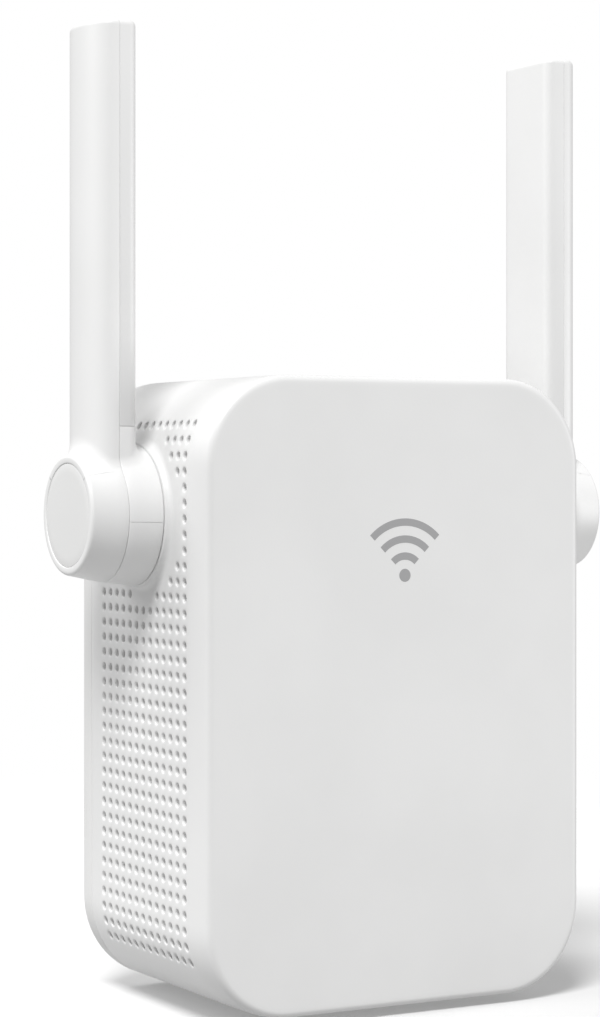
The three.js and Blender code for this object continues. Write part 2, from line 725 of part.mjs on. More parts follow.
// The blade's section in (x, y): a swelling outer half and a flat inner half.
function bladeSection(inset) {
  const width = BLADE.halfWidth - inset;
  const outer = BLADE.outerThickness - inset;
  const inner = BLADE.innerThickness - inset;
  const corner = BLADE.innerCorner - inset;
  const steps = 18;
  const shape = new THREE.Shape();
  for (let i = 0; i <= steps; i++) {
    const angle = (i / steps - 0.5) * Math.PI;
    const power = 2 / BLADE.outerPower;
    const x = outer * Math.abs(Math.cos(angle)) ** power;
    const y = width * Math.sign(Math.sin(angle)) * Math.abs(Math.sin(angle)) ** power;
    if (i === 0) shape.moveTo(0, -width);
    else shape.lineTo(i === steps ? 0 : x, y);
  }
  shape.lineTo(corner - inner, width);
  shape.absarc(corner - inner, width - corner, corner, Math.PI / 2, Math.PI);
  shape.absarc(corner - inner, corner - width, corner, Math.PI, 1.5 * Math.PI);
  shape.closePath();
  return shape;
}

function wholeBlade() {
  const edge = BLADE.topEdge;
  const settings = {
    depth: BLADE.top - edge,
    bevelSize: edge,
    bevelThickness: edge,
    bevelSegments: 3,
    curveSegments: 3,
  };
  const blade = solid(new THREE.ExtrudeGeometry(bladeSection(edge), settings));
  return blade.translate([HINGE.seam, 0, 0]);
}

// The part of a solid with x on one side of the seam and z between two heights.
function clipped(made, x, z) {
  const reach = BLADE.halfWidth + BEYOND;
  return made.intersect(box(x, [-reach, reach], z));
}

const blade = wholeBlade();
const elementChannel = (x) =>
  box(
    x,
    [-ELEMENT.halfWidth - ELEMENT.margin, ELEMENT.halfWidth + ELEMENT.margin],
    [ELEMENT.from - ELEMENT.margin, ELEMENT.to + ELEMENT.margin],
  );
const coaxSlot = (x) =>
  box(x, [-COAX.slotHalfWidth, COAX.slotHalfWidth], [0, ELEMENT.from + BEYOND]);

function outerShell() {
  const barrel = turnedX(
    [
      [0, OUTER_SIDE],
      [HINGE.seamRadius, OUTER_SIDE],
      [HINGE.endRadius, HINGE.end - HINGE.edge],
      [HINGE.endRadius - HINGE.edge, HINGE.end],
      [0, HINGE.end],
    ],
    0,
    0,
  );
  return cut(
    join(barrel, clipped(blade, [OUTER_SIDE, HINGE.end], [0, ABOVE_BLADE])),
    rodX(HINGE.hollow, [INNER_SIDE, CAP.recessFrom + OVERLAP], 0, 0),
    rodX(CAP.recessRadius, [CAP.recessFrom, HINGE.end + BEYOND], 0, 0),
    elementChannel([INNER_SIDE, OUTER_SIDE + ELEMENT.channel]),
    coaxSlot([INNER_SIDE, OUTER_SIDE + COAX.slotDepth]),
  );
}

function innerShell() {
  const part = clipped(blade, [BLADE_INSIDE, INNER_SIDE], [BLADE.crossSeam + GAP / 2, ABOVE_BLADE]);
  return cut(
    part,
    elementChannel([INNER_SIDE - ELEMENT.channel, OUTER_SIDE]),
    coaxSlot([INNER_SIDE - COAX.slotDepth, OUTER_SIDE]),
  );
}

function hingeKnuckle() {
  const barrelFrom = HINGE.flangeEnd + GAP;
  const shaftTo = barrelFrom + BEYOND;
  const stub = clipped(blade, [BLADE_INSIDE, INNER_SIDE], [0, BLADE.crossSeam - GAP / 2]);
  const barrelProfile = [
    [0, barrelFrom],
    [HINGE.knuckleRadius, barrelFrom],
    [HINGE.seamRadius, INNER_SIDE],
    [0, INNER_SIDE],
  ];
  const shaftProfile = [
    [0, SHAFT.end],
    [SHAFT.radius - SHAFT.edge, SHAFT.end],
    [SHAFT.radius, SHAFT.end + SHAFT.edge],
    [SHAFT.radius, SHAFT.grooveFrom],
    [SHAFT.groove, SHAFT.grooveFrom],
    [SHAFT.groove, SHAFT.grooveTo],
    [SHAFT.radius, SHAFT.grooveTo],
    [SHAFT.radius, shaftTo],
    [0, shaftTo],
  ];
  return cut(
    join(turnedX(barrelProfile, 0, 0), stub, turnedX(shaftProfile, 0, 0)),
    rodX(SHAFT.bore, [SHAFT.end - BEYOND, OUTER_SIDE], 0, 0, BORE_ROUND),
    rodX(HINGE.hollow, [HINGE.hollowFrom, OUTER_SIDE], 0, 0),
    coaxSlot([INNER_SIDE - COAX.slotDepth, OUTER_SIDE]),
  );
}

function hingeCap() {
  return turnedX(
    [
      [0, CAP.from],
      [CAP.radius, CAP.from],
      [CAP.radius, CAP.to - CAP.edge],
      [CAP.radius - CAP.edge, CAP.to],
      [0, CAP.to],
    ],
    0,
    0,
  );
}

function retainingClip() {
  const ring = cut(
    rodX(CLIP.outer, [CLIP.from, CLIP.to], 0, 0),
    rodX(CLIP.inner, [CLIP.from - BEYOND, CLIP.to + BEYOND], 0, 0),
  );
  const half = CLIP.mouth / 2;
  const through = [CLIP.from - BEYOND, CLIP.to + BEYOND];
  return cut(ring, box(through, [-half, half], [-CLIP.outer - BEYOND, 0]));
}

function frictionWasher() {
  return cut(
    rodX(WASHER.outer, [WASHER.from, WASHER.to], 0, 0),
    rodX(WASHER.inner, [WASHER.from - BEYOND, WASHER.to + BEYOND], 0, 0),
  );
}

function antennaElement() {
  const half = ELEMENT.thickness / 2;
  return box(
    [HINGE.seam - half, HINGE.seam + half],
    [-ELEMENT.halfWidth, ELEMENT.halfWidth],
    [ELEMENT.from, ELEMENT.to],
  );
}

// A cable along a smooth curve through hand-placed points.
function cable(points, steps) {
  const path = new THREE.CatmullRomCurve3(points.map((p) => new THREE.Vector3(...p)));
  const section = new THREE.Shape();
  section.absarc(0, 0, COAX.radius, 0, 2 * Math.PI);
  const settings = { steps, curveSegments: COAX.sides, extrudePath: path };
  return solid(new THREE.ExtrudeGeometry(section, settings));
}

const COAX_IN_ANTENNA = [
  [HINGE.seam, 0, ELEMENT.from - GAP],
  [HINGE.seam, 0, 8],
  [HINGE.seam, 0, 4],
  [HINGE.seam - 1, 0, 1],
  [HINGE.seam - 4, 0, 0],
  [27.5, 0, 0],
  [COAX.end, 0, 0],
];
const ABOVE_COAX_PLUG = BEHIND_MAIN + COAX_PLUG.height + GAP - HINGE.y;
const COAX_IN_HOUSING = [
  [COAX.end - GAP, 0, 0],
  [17.9, 0, 0.1],
  [16.2, -1.5, 1.6],
  [COAX_PLUG.x, -4.2, 3.4],
  [COAX_PLUG.x, ABOVE_COAX_PLUG, COAX_PLUG.z],
];

function coaxPlug() {
  const base = BEHIND_MAIN - HINGE.y;
  return rodY(COAX_PLUG.radius, [base, base + COAX_PLUG.height], COAX_PLUG.x, COAX_PLUG.z);
}

for (const [name, side] of [["left", -1], ["right", 1]]) {
  const hinge = new THREE.Group();
  hinge.position.set(0, HINGE.y, HINGE.z);
  hinge.scale.x = side;
  root.add(hinge);
  add(hinge, "antenna_outer_shell_" + name, outerShell(), WHITE_SATIN());
  add(hinge, "antenna_inner_shell_" + name, innerShell(), WHITE_SATIN());
  add(hinge, "hinge_knuckle_" + name, hingeKnuckle(), WHITE_SATIN());
  add(hinge, "hinge_cap_" + name, hingeCap(), WHITE_CAP());
  add(hinge, "retaining_clip_" + name, retainingClip(), STEEL());
  add(hinge, "antenna_element_" + name, antennaElement(), COPPER_BOARD());
  add(hinge, "antenna_coax_" + name, cable(COAX_IN_ANTENNA, COAX.stepsInAntenna), CABLE_GREY());
  add(hinge, "friction_washer_" + name, frictionWasher(), STEEL());
  add(hinge, "coax_lead_" + name, cable(COAX_IN_HOUSING, COAX.stepsInHousing), CABLE_GREY());
  add(hinge, "coax_plug_" + name, coaxPlug(), NICKEL());
}

export default root;
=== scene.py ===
"""A wifi range extender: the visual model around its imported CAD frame.

Sizes are in millimetres in the row frame: +X right seen from the front, +Y into the wall, +Z up.
"""
import json
from math import asin, atan, atan2, copysign, cos, degrees, dist, pi, radians, sin, sqrt

import bmesh
import bpy
from mathutils import Matrix, Vector


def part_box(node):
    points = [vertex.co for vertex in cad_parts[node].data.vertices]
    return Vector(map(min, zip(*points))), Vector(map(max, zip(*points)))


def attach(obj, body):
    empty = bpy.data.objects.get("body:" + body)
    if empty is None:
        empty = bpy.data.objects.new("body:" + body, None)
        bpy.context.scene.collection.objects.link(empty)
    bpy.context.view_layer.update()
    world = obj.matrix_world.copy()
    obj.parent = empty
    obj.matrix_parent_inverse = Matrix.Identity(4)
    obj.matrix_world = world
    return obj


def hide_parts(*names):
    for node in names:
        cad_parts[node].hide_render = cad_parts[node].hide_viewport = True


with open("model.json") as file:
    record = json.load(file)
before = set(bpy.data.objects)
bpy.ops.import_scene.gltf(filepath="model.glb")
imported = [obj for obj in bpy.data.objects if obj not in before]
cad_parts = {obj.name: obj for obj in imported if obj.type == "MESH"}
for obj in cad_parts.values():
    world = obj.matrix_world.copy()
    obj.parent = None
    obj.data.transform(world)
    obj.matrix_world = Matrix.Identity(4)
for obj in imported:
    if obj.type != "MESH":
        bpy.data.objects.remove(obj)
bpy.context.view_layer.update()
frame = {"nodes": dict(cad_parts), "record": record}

MM = 0.001
SHARP_ANGLE = radians(50)
SIDES = {"left": -1, "right": 1}


# -------- sizes
def limits(node):
    """A CAD node's lowest and highest corners in millimetres."""
    low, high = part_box(node)
    return Vector(low) / MM, Vector(high) / MM


def middle_xz(node):
    """The x and z of a CAD node's middle."""
    low, high = limits(node)
    return (low.x + high.x) / 2, (low.z + high.z) / 2


SHELL_LOW, SHELL_HIGH = limits("front_shell")
_, COVER_HIGH = limits("rear_cover")
BARREL_LOW, BARREL_HIGH = limits("antenna_outer_shell_right")
INNER_LOW, INNER_HIGH = limits("antenna_inner_shell_right")
KNUCKLE_LOW, KNUCKLE_HIGH = limits("hinge_knuckle_right")

# the housing's outline, edges and wall, and the draft of its sides towards the front
HALF_WIDTH = COVER_HIGH.x
TOP = SHELL_HIGH.z
BOTTOM = SHELL_LOW.z
FRONT = SHELL_LOW.y
CORNER = 11.75
FRONT_EDGE = 0.9
FRONT_DRAFT = 0.75
DRAFT_POWER = 1.4
INNER_EDGE = 0.7
COVER_EDGE = 1.2
COVER_FLOOR = 2.0
WALL = 1.8
SEAM_Y = -3.3
SEAM_HALF_GAP = 0.015
RIM_EDGE = 0.12
RIM_LEVEL = -4.4
FACE_MARGIN = 0.5

# the perforated sides, and where they are left plain round the hinge and the controls
HOLE_PITCH = 2.0
HOLE_COLUMNS = 13
HOLE_ROWS = 35
FIELD_REAR = -6.3
FIELD_BOTTOM = -54.8
FIELD_TOP = FIELD_BOTTOM + HOLE_ROWS * HOLE_PITCH
DRAFT_START = FIELD_REAR - HOLE_COLUMNS * HOLE_PITCH
HOLE_RADIUS = 0.52
HOLE_ROUNDING = 0.22
HOLE_SIDES = 16
HOLE_FREE_CENTRE = (-19.35, 2.4)
HOLE_FREE_RADIUS = 10.9
CONTROLS_REAR = -20
CONTROLS_HEIGHTS = (-49, -11)

# the hinge: its axis, its barrel and knuckle, and its bore in the housing
HINGE_Y = (BARREL_LOW.y + BARREL_HIGH.y) / 2
SEAM_RADIUS = (BARREL_HIGH.y - BARREL_LOW.y) / 2
WALL_RADIUS = (KNUCKLE_HIGH.y - KNUCKLE_LOW.y) / 2
END_RADIUS = 7.8
HINGE_Z = BARREL_LOW.z + SEAM_RADIUS
HINGE_SEAM = (BARREL_LOW.x + INNER_HIGH.x) / 2
BARREL_LENGTH = BARREL_HIGH.x - HINGE_SEAM
FLANGE_FACE = 29.5
KNUCKLE_GAP = 0.08
KNUCKLE_LENGTH = HINGE_SEAM - FLANGE_FACE - KNUCKLE_GAP
BLADE_TOP = BARREL_HIGH.z - HINGE_Z
BLADE_HALF_WIDTH = (INNER_HIGH.y - INNER_LOW.y) / 2
BLADE_INNER = HINGE_SEAM - INNER_LOW.x
BLADE_OUTER = 3.3
CROSS_SEAM = (KNUCKLE_HIGH.z + INNER_LOW.z) / 2 - HINGE_Z
BORE_RADIUS = 4.3
BOSS_RADIUS = 6.8
BOSS_END = 25.1
BASE_RADIUS = 10.2
SHAFT_RADIUS = 4.0
COAX_BORE_RADIUS = 2.0
CLIP_GROOVE = (22.8, 24.2)
CLIP_RADIUS = 3.3
HOLLOW_RADIUS = 5.4
HOLLOW_MARGIN = 1.5

# the controls, with (half width, half height) of the button, the light windows and their mouths
CONTROLS_Y = -25.0
BUTTON_Z = -16.0
BUTTON_SIZE = (2.2, 4.0)
BUTTON_MOUTH = (2.35, 4.15)
WINDOW_ZS = [-24.0, -29.0, -34.0, -39.0]
WINDOW_SIZE = (0.8, 1.5)
WINDOW_MOUTH = (0.88, 1.58)
PINHOLE_Z = -46.0
PINHOLE_RADIUS = 0.8
LIGHT_BAR_END = 26.4

# the port, plug and label, with (half width, half height, corner radius), and the screw holes
PORT_Y = -20.4
PORT_MOUTH = (8.15, 6.7, 0.5)
PLUG_BASE = (12.4, 8.4, 1.7)
PLUG_MOUTH = (12.15, 8.15, 1.2)
LABEL_Z = -32
LABEL_RECESS = (17, 13, 1.5)
LABEL_SIZE = (16.4, 12.4, 1.2)
LABEL_DEPTH = 0.25
SCREW_MOUTH_RADIUS = 2.7
SCREW_MOUTH_DEPTH = 1.4
SCREW_BORE_RADIUS = 1.3


# -------- mesh helpers
def add_object(name, data):
    """A new object in the scene."""
    made = bpy.data.objects.new(name, data)
    bpy.context.scene.collection.objects.link(made)
    return made


def make_mesh(name, points, faces):
    """A smooth-shaded mesh object from points in millimetres, with its faces turned outwards."""
    mesh = bpy.data.meshes.new(name)
    mesh.from_pydata([[c * MM for c in point] for point in points], [], faces)
    tidy_mesh(mesh)
    return add_object(name, mesh)


def tidy_mesh(mesh):
    """Merges doubles, turns the faces outwards and marks the sharp edges."""
    work = bmesh.new()
    work.from_mesh(mesh)
    bmesh.ops.remove_doubles(work, verts=work.verts, dist=0.002 * MM)
    bmesh.ops.recalc_face_normals(work, faces=work.faces)
    work.to_mesh(mesh)
    work.free()
    mesh.shade_smooth()
    mesh.set_sharp_from_angle(angle=SHARP_ANGLE)


def bridge(faces, ring_a, ring_b):
    """Adds the quads between two rings of equal length."""
    count = len(ring_a)
    for i in range(count):
        j = (i + 1) % count
        faces.append((ring_a[i], ring_a[j], ring_b[j], ring_b[i]))


def loft(name, rings):
    """A closed solid through rings of equal length, with flat faces on both ends."""
    count = len(rings[0])
    points = [point for ring in rings for point in ring]
    loops = [range(first, first + count) for first in range(0, len(points), count)]
    faces = []
    for low, high in zip(loops, loops[1:]):
        bridge(faces, low, high)
    faces += [tuple(loops[0]), tuple(loops[-1])]
    return make_mesh(name, points, faces)


def combine(piece, others, operation):
    """Cuts or joins other solids into the piece, and removes them."""
    for other in others:
        step = piece.modifiers.new("combine", "BOOLEAN")
        step.solver = "MANIFOLD"
        step.operation = operation
        step.object = other
    view = bpy.context.evaluated_depsgraph_get()
    mesh = bpy.data.meshes.new_from_object(piece.evaluated_get(view))
    piece.modifiers.clear()
    piece.data = mesh
    tidy_mesh(mesh)
    for other in others:
        bpy.data.objects.remove(other)
    return piece


def carve(piece, *cutters):
    """The piece with the cutters' solids cut away."""
    return combine(piece, cutters, "DIFFERENCE")


def unite(piece, *others):
    """The piece and the others as one solid."""
    return combine(piece, others, "UNION")


def arc(start, end, steps):
    """Angles in radians from start to end in degrees, both included."""
    return [radians(start + (end - start) * i / steps) for i in range(steps + 1)]


def arc_points(radius, start, end, steps, a=0.0, b=0.0):
    """Points round the centre (a, b), from start to end in degrees."""
    return [(a + radius * cos(t), b + radius * sin(t)) for t in arc(start, end, steps)]


def rounded_rectangle(half_width, half_height, radius, steps=8):
    """Points (a, b) round a rectangle with round corners, anticlockwise."""
    outline = []
    for sign_a, sign_b, start in ((1, 1, 0), (-1, 1, 90), (-1, -1, 180), (1, -1, 270)):
        centre = (sign_a * (half_width - radius), sign_b * (half_height - radius))
        outline += arc_points(radius, start, start + 90, steps, *centre)
    return outline


def capsule(half_width, half_height, steps=14):
    """Points (a, b) round an upright bar with half-round ends, anticlockwise."""
    straight = half_height - half_width
    upper = arc_points(half_width, 0, 180, steps, b=straight)
    return upper + arc_points(half_width, 180, 360, steps, b=-straight)


def circle(radius, steps=32):
    """Points (a, b) round a circle, anticlockwise."""
    return arc_points(radius, 0, 360 - 360 / steps, steps - 1)


def grown(shape, *sizes, **detail):
    """The shape's outline as a function of how far it is drawn out."""
    return lambda offset: shape(*[size + offset for size in sizes], **detail)


def along_x(outline, x, y, z):
    """The outline's points at a place, facing along X."""
    return [(x, y + a, z + b) for a, b in outline]


def along_y(outline, y, x, z):
    """The outline's points at a place, facing along Y."""
    return [(x + a, y, z + b) for a, b in outline]


def along_z(outline, z, x, y):
    """The outline's points at a place, facing along Z."""
    return [(x + a, y + b, z) for a, b in outline]


def add_strips(faces, columns):
    """Adds the quads between neighbouring columns of points."""
    for a, b in zip(columns, columns[1:]):
        for i in range(len(a) - 1):
            faces.append((a[i], b[i], b[i + 1], a[i + 1]))


def block(name, low, high):
    """A plain box between two corners."""
    x, y, z = ((low[i] + high[i]) / 2 for i in range(3))
    half = [abs(high[i] - low[i]) / 2 for i in range(3)]
    outline = [(half[0], half[1]), (-half[0], half[1]), (-half[0], -half[1]), (half[0], -half[1])]
    return loft(name, [along_z(outline, z - half[2], x, y), along_z(outline, z + half[2], x, y)])


def edge_steps(radius, steps=4):
    """(inset, drop) pairs of a rounded edge, from the flat face to the side wall."""
    return [(radius * (1 - sin(t)), radius * (1 - cos(t))) for t in arc(0, 90, steps)]


# -------- housing outline
CORNER_X = HALF_WIDTH - CORNER
CORNER_TOP = TOP - CORNER
CORNER_BOTTOM = BOTTOM + CORNER
FIELD_LINES = HOLE_ROWS * 2
FIELD_LEVELS = HOLE_COLUMNS * 2


def side_x(z, inset):
    """Half the housing's width at a height, for its outline drawn in by the inset."""
    beyond = max(z - CORNER_TOP, CORNER_BOTTOM - z, 0)
    return CORNER_X + sqrt((CORNER - inset) ** 2 - beyond**2)


def housing_outline(inset):
    """Points (x, z) round the housing, from the lower right upwards. The first and the fourth
    stretches are the perforated sides, one point each millimetre."""
    radius = CORNER - inset
    lift = degrees(asin((FIELD_TOP - CORNER_TOP) / radius))
    dip = degrees(asin((CORNER_BOTTOM - FIELD_BOTTOM) / radius))
    heights = [FIELD_BOTTOM + i for i in range(FIELD_LINES + 1)]
    corner_steps = 12
    flat_steps = 14

    def corner(x, z, start, end):
        return arc_points(radius, start, end, corner_steps, x, z)[1:]

    def flat(z, start):
        return [(start * (1 - 2 * i / flat_steps), z) for i in range(1, flat_steps + 1)]

    right = [(side_x(z, inset), z) for z in heights]
    outline = right + corner(CORNER_X, CORNER_TOP, lift, 90)
    outline += flat(TOP - inset, CORNER_X)
    outline += corner(-CORNER_X, CORNER_TOP, 90, 180 - lift)
    left_start = len(outline) - 1
    outline += [(-x, z) for x, z in reversed(right)][1:]
    outline += corner(-CORNER_X, CORNER_BOTTOM, 180 + dip, 270)
    outline += flat(BOTTOM + inset, -CORNER_X)
    outline += corner(CORNER_X, CORNER_BOTTOM, 270, 360 - dip)[:-1]
    return outline, left_start


def housing_rings(levels):
    """Rings of points round the housing, one for each (inset, y)."""
    return [[(x, y, z) for x, z in housing_outline(inset)[0]] for inset, y in levels]


def drafted(x, y, z):
    """Draws the sides in a little where the housing nears its front."""
    share = max(DRAFT_START - y, 0) / (DRAFT_START - FRONT)
    return (x * (1 - FRONT_DRAFT * share**DRAFT_POWER / HALF_WIDTH), y, z)


# -------- perforated front shell
class ShellSkin:
    """One skin of the front shell: a net of points round the housing and along its depth."""

    def __init__(self, points, levels, field_start, depth):
        self.points = points
        self.rings = [[drafted(*point) for point in ring] for ring in housing_rings(levels)]
        self.left_start = housing_outline(0)[1]
        self.field_start = field_start
        self.depth = depth
        self.made = {}

    def vertex(self, level, station):
        station %= len(self.rings[0])
        key = (level, station)
        if key not in self.made:
            self.made[key] = len(self.points)
            self.points.append(self.rings[level][station])
        return self.made[key]

    def field_vertex(self, side, across, up):
        """The net's point in a perforated side: `across` from the rear and `up` from below."""
        station = up if side > 0 else self.left_start + FIELD_LINES - up
        return self.vertex(self.field_start + across, station)

    def ring(self, side, places, height=0.0):
        """New points at (y, z) places, standing a height off this skin."""
        first = len(self.points)
        for y, z in places:
            self.points.append((side * (side_x(z, self.depth) + height), y, z))
        return list(range(first, first + len(places)))


def hole_place(column, row):
    """A hole's centre (y, z) in the side wall."""
    y = FIELD_REAR - HOLE_PITCH * (column + 0.5)
    z = FIELD_BOTTOM + HOLE_PITCH * (row + 0.5)
    return y, z


def has_hole(side, column, row):
    """Whether a 2 mm cell of the side has a hole: there are none by the hinge or the controls."""
    y, z = hole_place(column, row)
    by_hinge = dist((y, z), HOLE_FREE_CENTRE) < HOLE_FREE_RADIUS
    by_controls = side > 0 and y < CONTROLS_REAR and CONTROLS_HEIGHTS[0] < z < CONTROLS_HEIGHTS[1]
    return not by_hinge and not by_controls


AROUND_CELL = [(1, 0), (1, 1), (0, 1), (-1, 1), (-1, 0), (-1, -1), (0, -1), (1, -1)]
HOLE_RIM = [(HOLE_RADIUS + inset, -drop) for inset, drop in edge_steps(HOLE_ROUNDING)]


def cell_border(skin, side, column, row):
    """The eight net points round a 2 mm cell of the side."""
    y = 2 * column + 1
    z = 2 * row + 1
    return [skin.field_vertex(side, y - dy, z + dz) for dy, dz in AROUND_CELL]


def add_hole(faces, outer, inner, side, column, row):
    """A round hole right through the wall, with a softened rim outside."""
    y, z = hole_place(column, row)

    def places(radius):
        return [(y + radius * a, z + radius * b) for a, b in circle(1, HOLE_SIDES)]

    rings = [outer.ring(side, places(radius), height) for radius, height in HOLE_RIM]
    rings.append(inner.ring(side, places(HOLE_RADIUS)))
    for ring_a, ring_b in zip(rings, rings[1:]):
        bridge(faces, ring_a, ring_b)
    for skin, ring in ((outer, rings[0]), (inner, rings[-1])):
        border = cell_border(skin, side, column, row)
        for k in range(8):
            near = [ring[2 * k], ring[2 * k + 1], ring[(2 * k + 2) % HOLE_SIDES]]
            faces.append((border[(k + 1) % 8], border[k], *near))


def add_side_field(faces, outer, inner, side):
    """One perforated side, cell by cell, in both skins."""
    for column in range(HOLE_COLUMNS):
        for row in range(HOLE_ROWS):
            if has_hole(side, column, row):
                add_hole(faces, outer, inner, side, column, row)
                continue
            for skin in (outer, inner):
                centre = skin.field_vertex(side, 2 * column + 1, 2 * row + 1)
                border = cell_border(skin, side, column, row)
                for k in range(1, 8, 2):
                    faces.append((centre, border[k - 1], border[k], border[(k + 1) % 8]))


def add_plain_skin(faces, skin):
    """The skin's quads outside the two perforated sides, and its front face."""
    right = range(FIELD_LINES)
    left = range(skin.left_start, skin.left_start + FIELD_LINES)
    field = range(skin.field_start, skin.field_start + FIELD_LEVELS)
    stations = len(skin.rings[0])
    last = len(skin.rings) - 1
    for level in range(last):
        for station in range(stations):
            if level in field and (station in right or station in left):
                continue
            low = (skin.vertex(level, station), skin.vertex(level, station + 1))
            high = (skin.vertex(level + 1, station + 1), skin.vertex(level + 1, station))
            faces.append(low + high)
    faces.append(tuple(skin.vertex(last, station) for station in range(stations)))


def front_shell_levels():
    """The (inset, y) levels of the outer and inner skins, and where their perforations start."""
    rear = SEAM_Y - SEAM_HALF_GAP
    rim = [(inset, rear - drop) for inset, drop in edge_steps(RIM_EDGE, 3)]
    straight = [RIM_LEVEL] + [FIELD_REAR - i for i in range(FIELD_LEVELS + 1)]
    outer = rim + [(0, y) for y in straight]
    outer_start = len(rim) + 1
    edge_start = FRONT + FRONT_EDGE
    draft_steps = 6
    for i in range(1, draft_steps):
        outer.append((0, DRAFT_START + (edge_start - DRAFT_START) * i / draft_steps))
    for t in arc(0, 90, 8):
        outer.append((FRONT_EDGE * (1 - cos(t)), edge_start - FRONT_EDGE * sin(t)))
    outer.append((FRONT_EDGE + FACE_MARGIN, FRONT))
    inner = [(WALL, rear)] + [(WALL, y) for y in straight]
    for t in arc(0, 90, 3):
        inset = WALL + INNER_EDGE * (1 - cos(t))
        inner.append((inset, FRONT + WALL + INNER_EDGE * (1 - sin(t))))
    inner.append((inner[-1][0] + FACE_MARGIN, FRONT + WALL))
    return outer, outer_start, inner, 2


def mouth_cutter(outline_at, place, edge, depth=WALL + 1):
    """A cutter for an opening whose mouth is rounded. `outline_at` gives its outline drawn out
    by an offset, and `place` puts an outline at a depth below the surface."""
    levels = [(edge, -1.0)] + edge_steps(edge) + [(0, depth)]
    return loft("mouth", [place(outline_at(offset), below) for offset, below in levels])


# (radius, x) of the boss inside the wall, (radius, height) of the concave foot that follows the
# wall outside, and (radius, x) of the flat face with its rounded edge
BASE_START = HALF_WIDTH - 1.5
BASE_BOSS = [(BOSS_RADIUS, BOSS_END), (BOSS_RADIUS, BASE_START), (BASE_RADIUS, BASE_START)]
BASE_FOOT = [(BASE_RADIUS, -0.02), (9.95, 0.03), (9.75, 0.11), (9.6, 0.23), (9.48, 0.42)]
BASE_FACE = [(9.4, FLANGE_FACE - 0.3), (9.37, FLANGE_FACE - 0.17)]
BASE_FACE += [(9.28, FLANGE_FACE - 0.05), (9.12, FLANGE_FACE)]


def hinge_ring(side, radius, x, steps):
    """Points round the hinge axis."""
    return along_x(circle(radius, steps), side * x, HINGE_Y, HINGE_Z)


def build_hinge_base(side):
    """The raised base round the hinge, with the boss inside that carries the shaft."""
    steps = 128
    rings = [hinge_ring(side, radius, x, steps) for radius, x in BASE_BOSS]
    for radius, height in BASE_FOOT:
        foot = hinge_ring(side, radius, 0, steps)
        rings.append([(side * (side_x(z, 0) + height), y, z) for _, y, z in foot])
    rings += [hinge_ring(side, radius, x, steps) for radius, x in BASE_FACE]
    return loft("hinge_base", rings)


def build_front_shell():
    """The front shell: two perforated skins, the hinge bases, and the openings on the right."""
    points = []
    faces = []
    outer_levels, outer_start, inner_levels, inner_start = front_shell_levels()
    outer = ShellSkin(points, outer_levels, outer_start, 0.0)
    inner = ShellSkin(points, inner_levels, inner_start, WALL)
    for skin in (outer, inner):
        add_plain_skin(faces, skin)
    for side in (1, -1):
        add_side_field(faces, outer, inner, side)
    stations = range(len(outer.rings[0]))
    bridge(faces, [outer.vertex(0, s) for s in stations], [inner.vertex(0, s) for s in stations])
    shell = make_mesh("housing_front", points, faces)
    unite(shell, *[build_hinge_base(side) for side in (1, -1)])

    def on_side(z):
        return lambda outline, below: along_x(outline, HALF_WIDTH - below, CONTROLS_Y, z)

    def on_bottom(outline, below):
        return along_z(outline, BOTTOM + below, 0, PORT_Y)

    cutters = [
        mouth_cutter(grown(capsule, *BUTTON_MOUTH), on_side(BUTTON_Z), edge=0.3),
        mouth_cutter(grown(circle, PINHOLE_RADIUS, steps=24), on_side(PINHOLE_Z), edge=0.25),
        mouth_cutter(grown(rounded_rectangle, *PORT_MOUTH), on_bottom, edge=0.25),
    ]
    window = grown(capsule, *WINDOW_MOUTH)
    for z in WINDOW_ZS:
        cutters.append(mouth_cutter(window, on_side(z), edge=0.12))
    for side in (1, -1):
        cutters.append(hinge_rod(side, BORE_RADIUS, BOSS_END - 1, FLANGE_FACE + 1))
    return carve(shell, *cutters)


# -------- rear cover, plug and screws
def build_rear_cover():
    """The rear cover with its plug opening, label recess and screw holes."""
    rim = SEAM_Y + SEAM_HALF_GAP
    rear = COVER_HIGH.y
    levels = [(WALL, rear - COVER_FLOOR), (WALL, rim)]
    levels += [(inset, rim + drop) for inset, drop in edge_steps(RIM_EDGE, 3)]
    levels += [(inset, rear - drop) for inset, drop in reversed(edge_steps(COVER_EDGE, 7))]
    levels.append((COVER_EDGE + FACE_MARGIN, rear))
    cover = loft("housing_rear", housing_rings(levels))

    def on_rear(x, z):
        return lambda outline, below: along_y(outline, rear - below, x, z)

    plug = grown(rounded_rectangle, *PLUG_MOUTH)
    label = rounded_rectangle(*LABEL_RECESS)
    cutters = [
        mouth_cutter(plug, on_rear(0, 0), edge=0.25, depth=COVER_FLOOR + 1),
        loft("label_recess", [along_y(label, y, 0, LABEL_Z) for y in (rear + 1, rear - LABEL_DEPTH)]),
    ]
    head = grown(circle, SCREW_MOUTH_RADIUS)
    bore = circle(SCREW_BORE_RADIUS, 20)
    for name in ("cover_screw_left", "cover_screw_right"):
        x, z = middle_xz(name)
        cutters.append(mouth_cutter(head, on_rear(x, z), 0.3, SCREW_MOUTH_DEPTH))
        cutters.append(loft("screw_bore", [along_y(bore, y, x, z) for y in (1, -4)]))
    return carve(cover, *cutters)


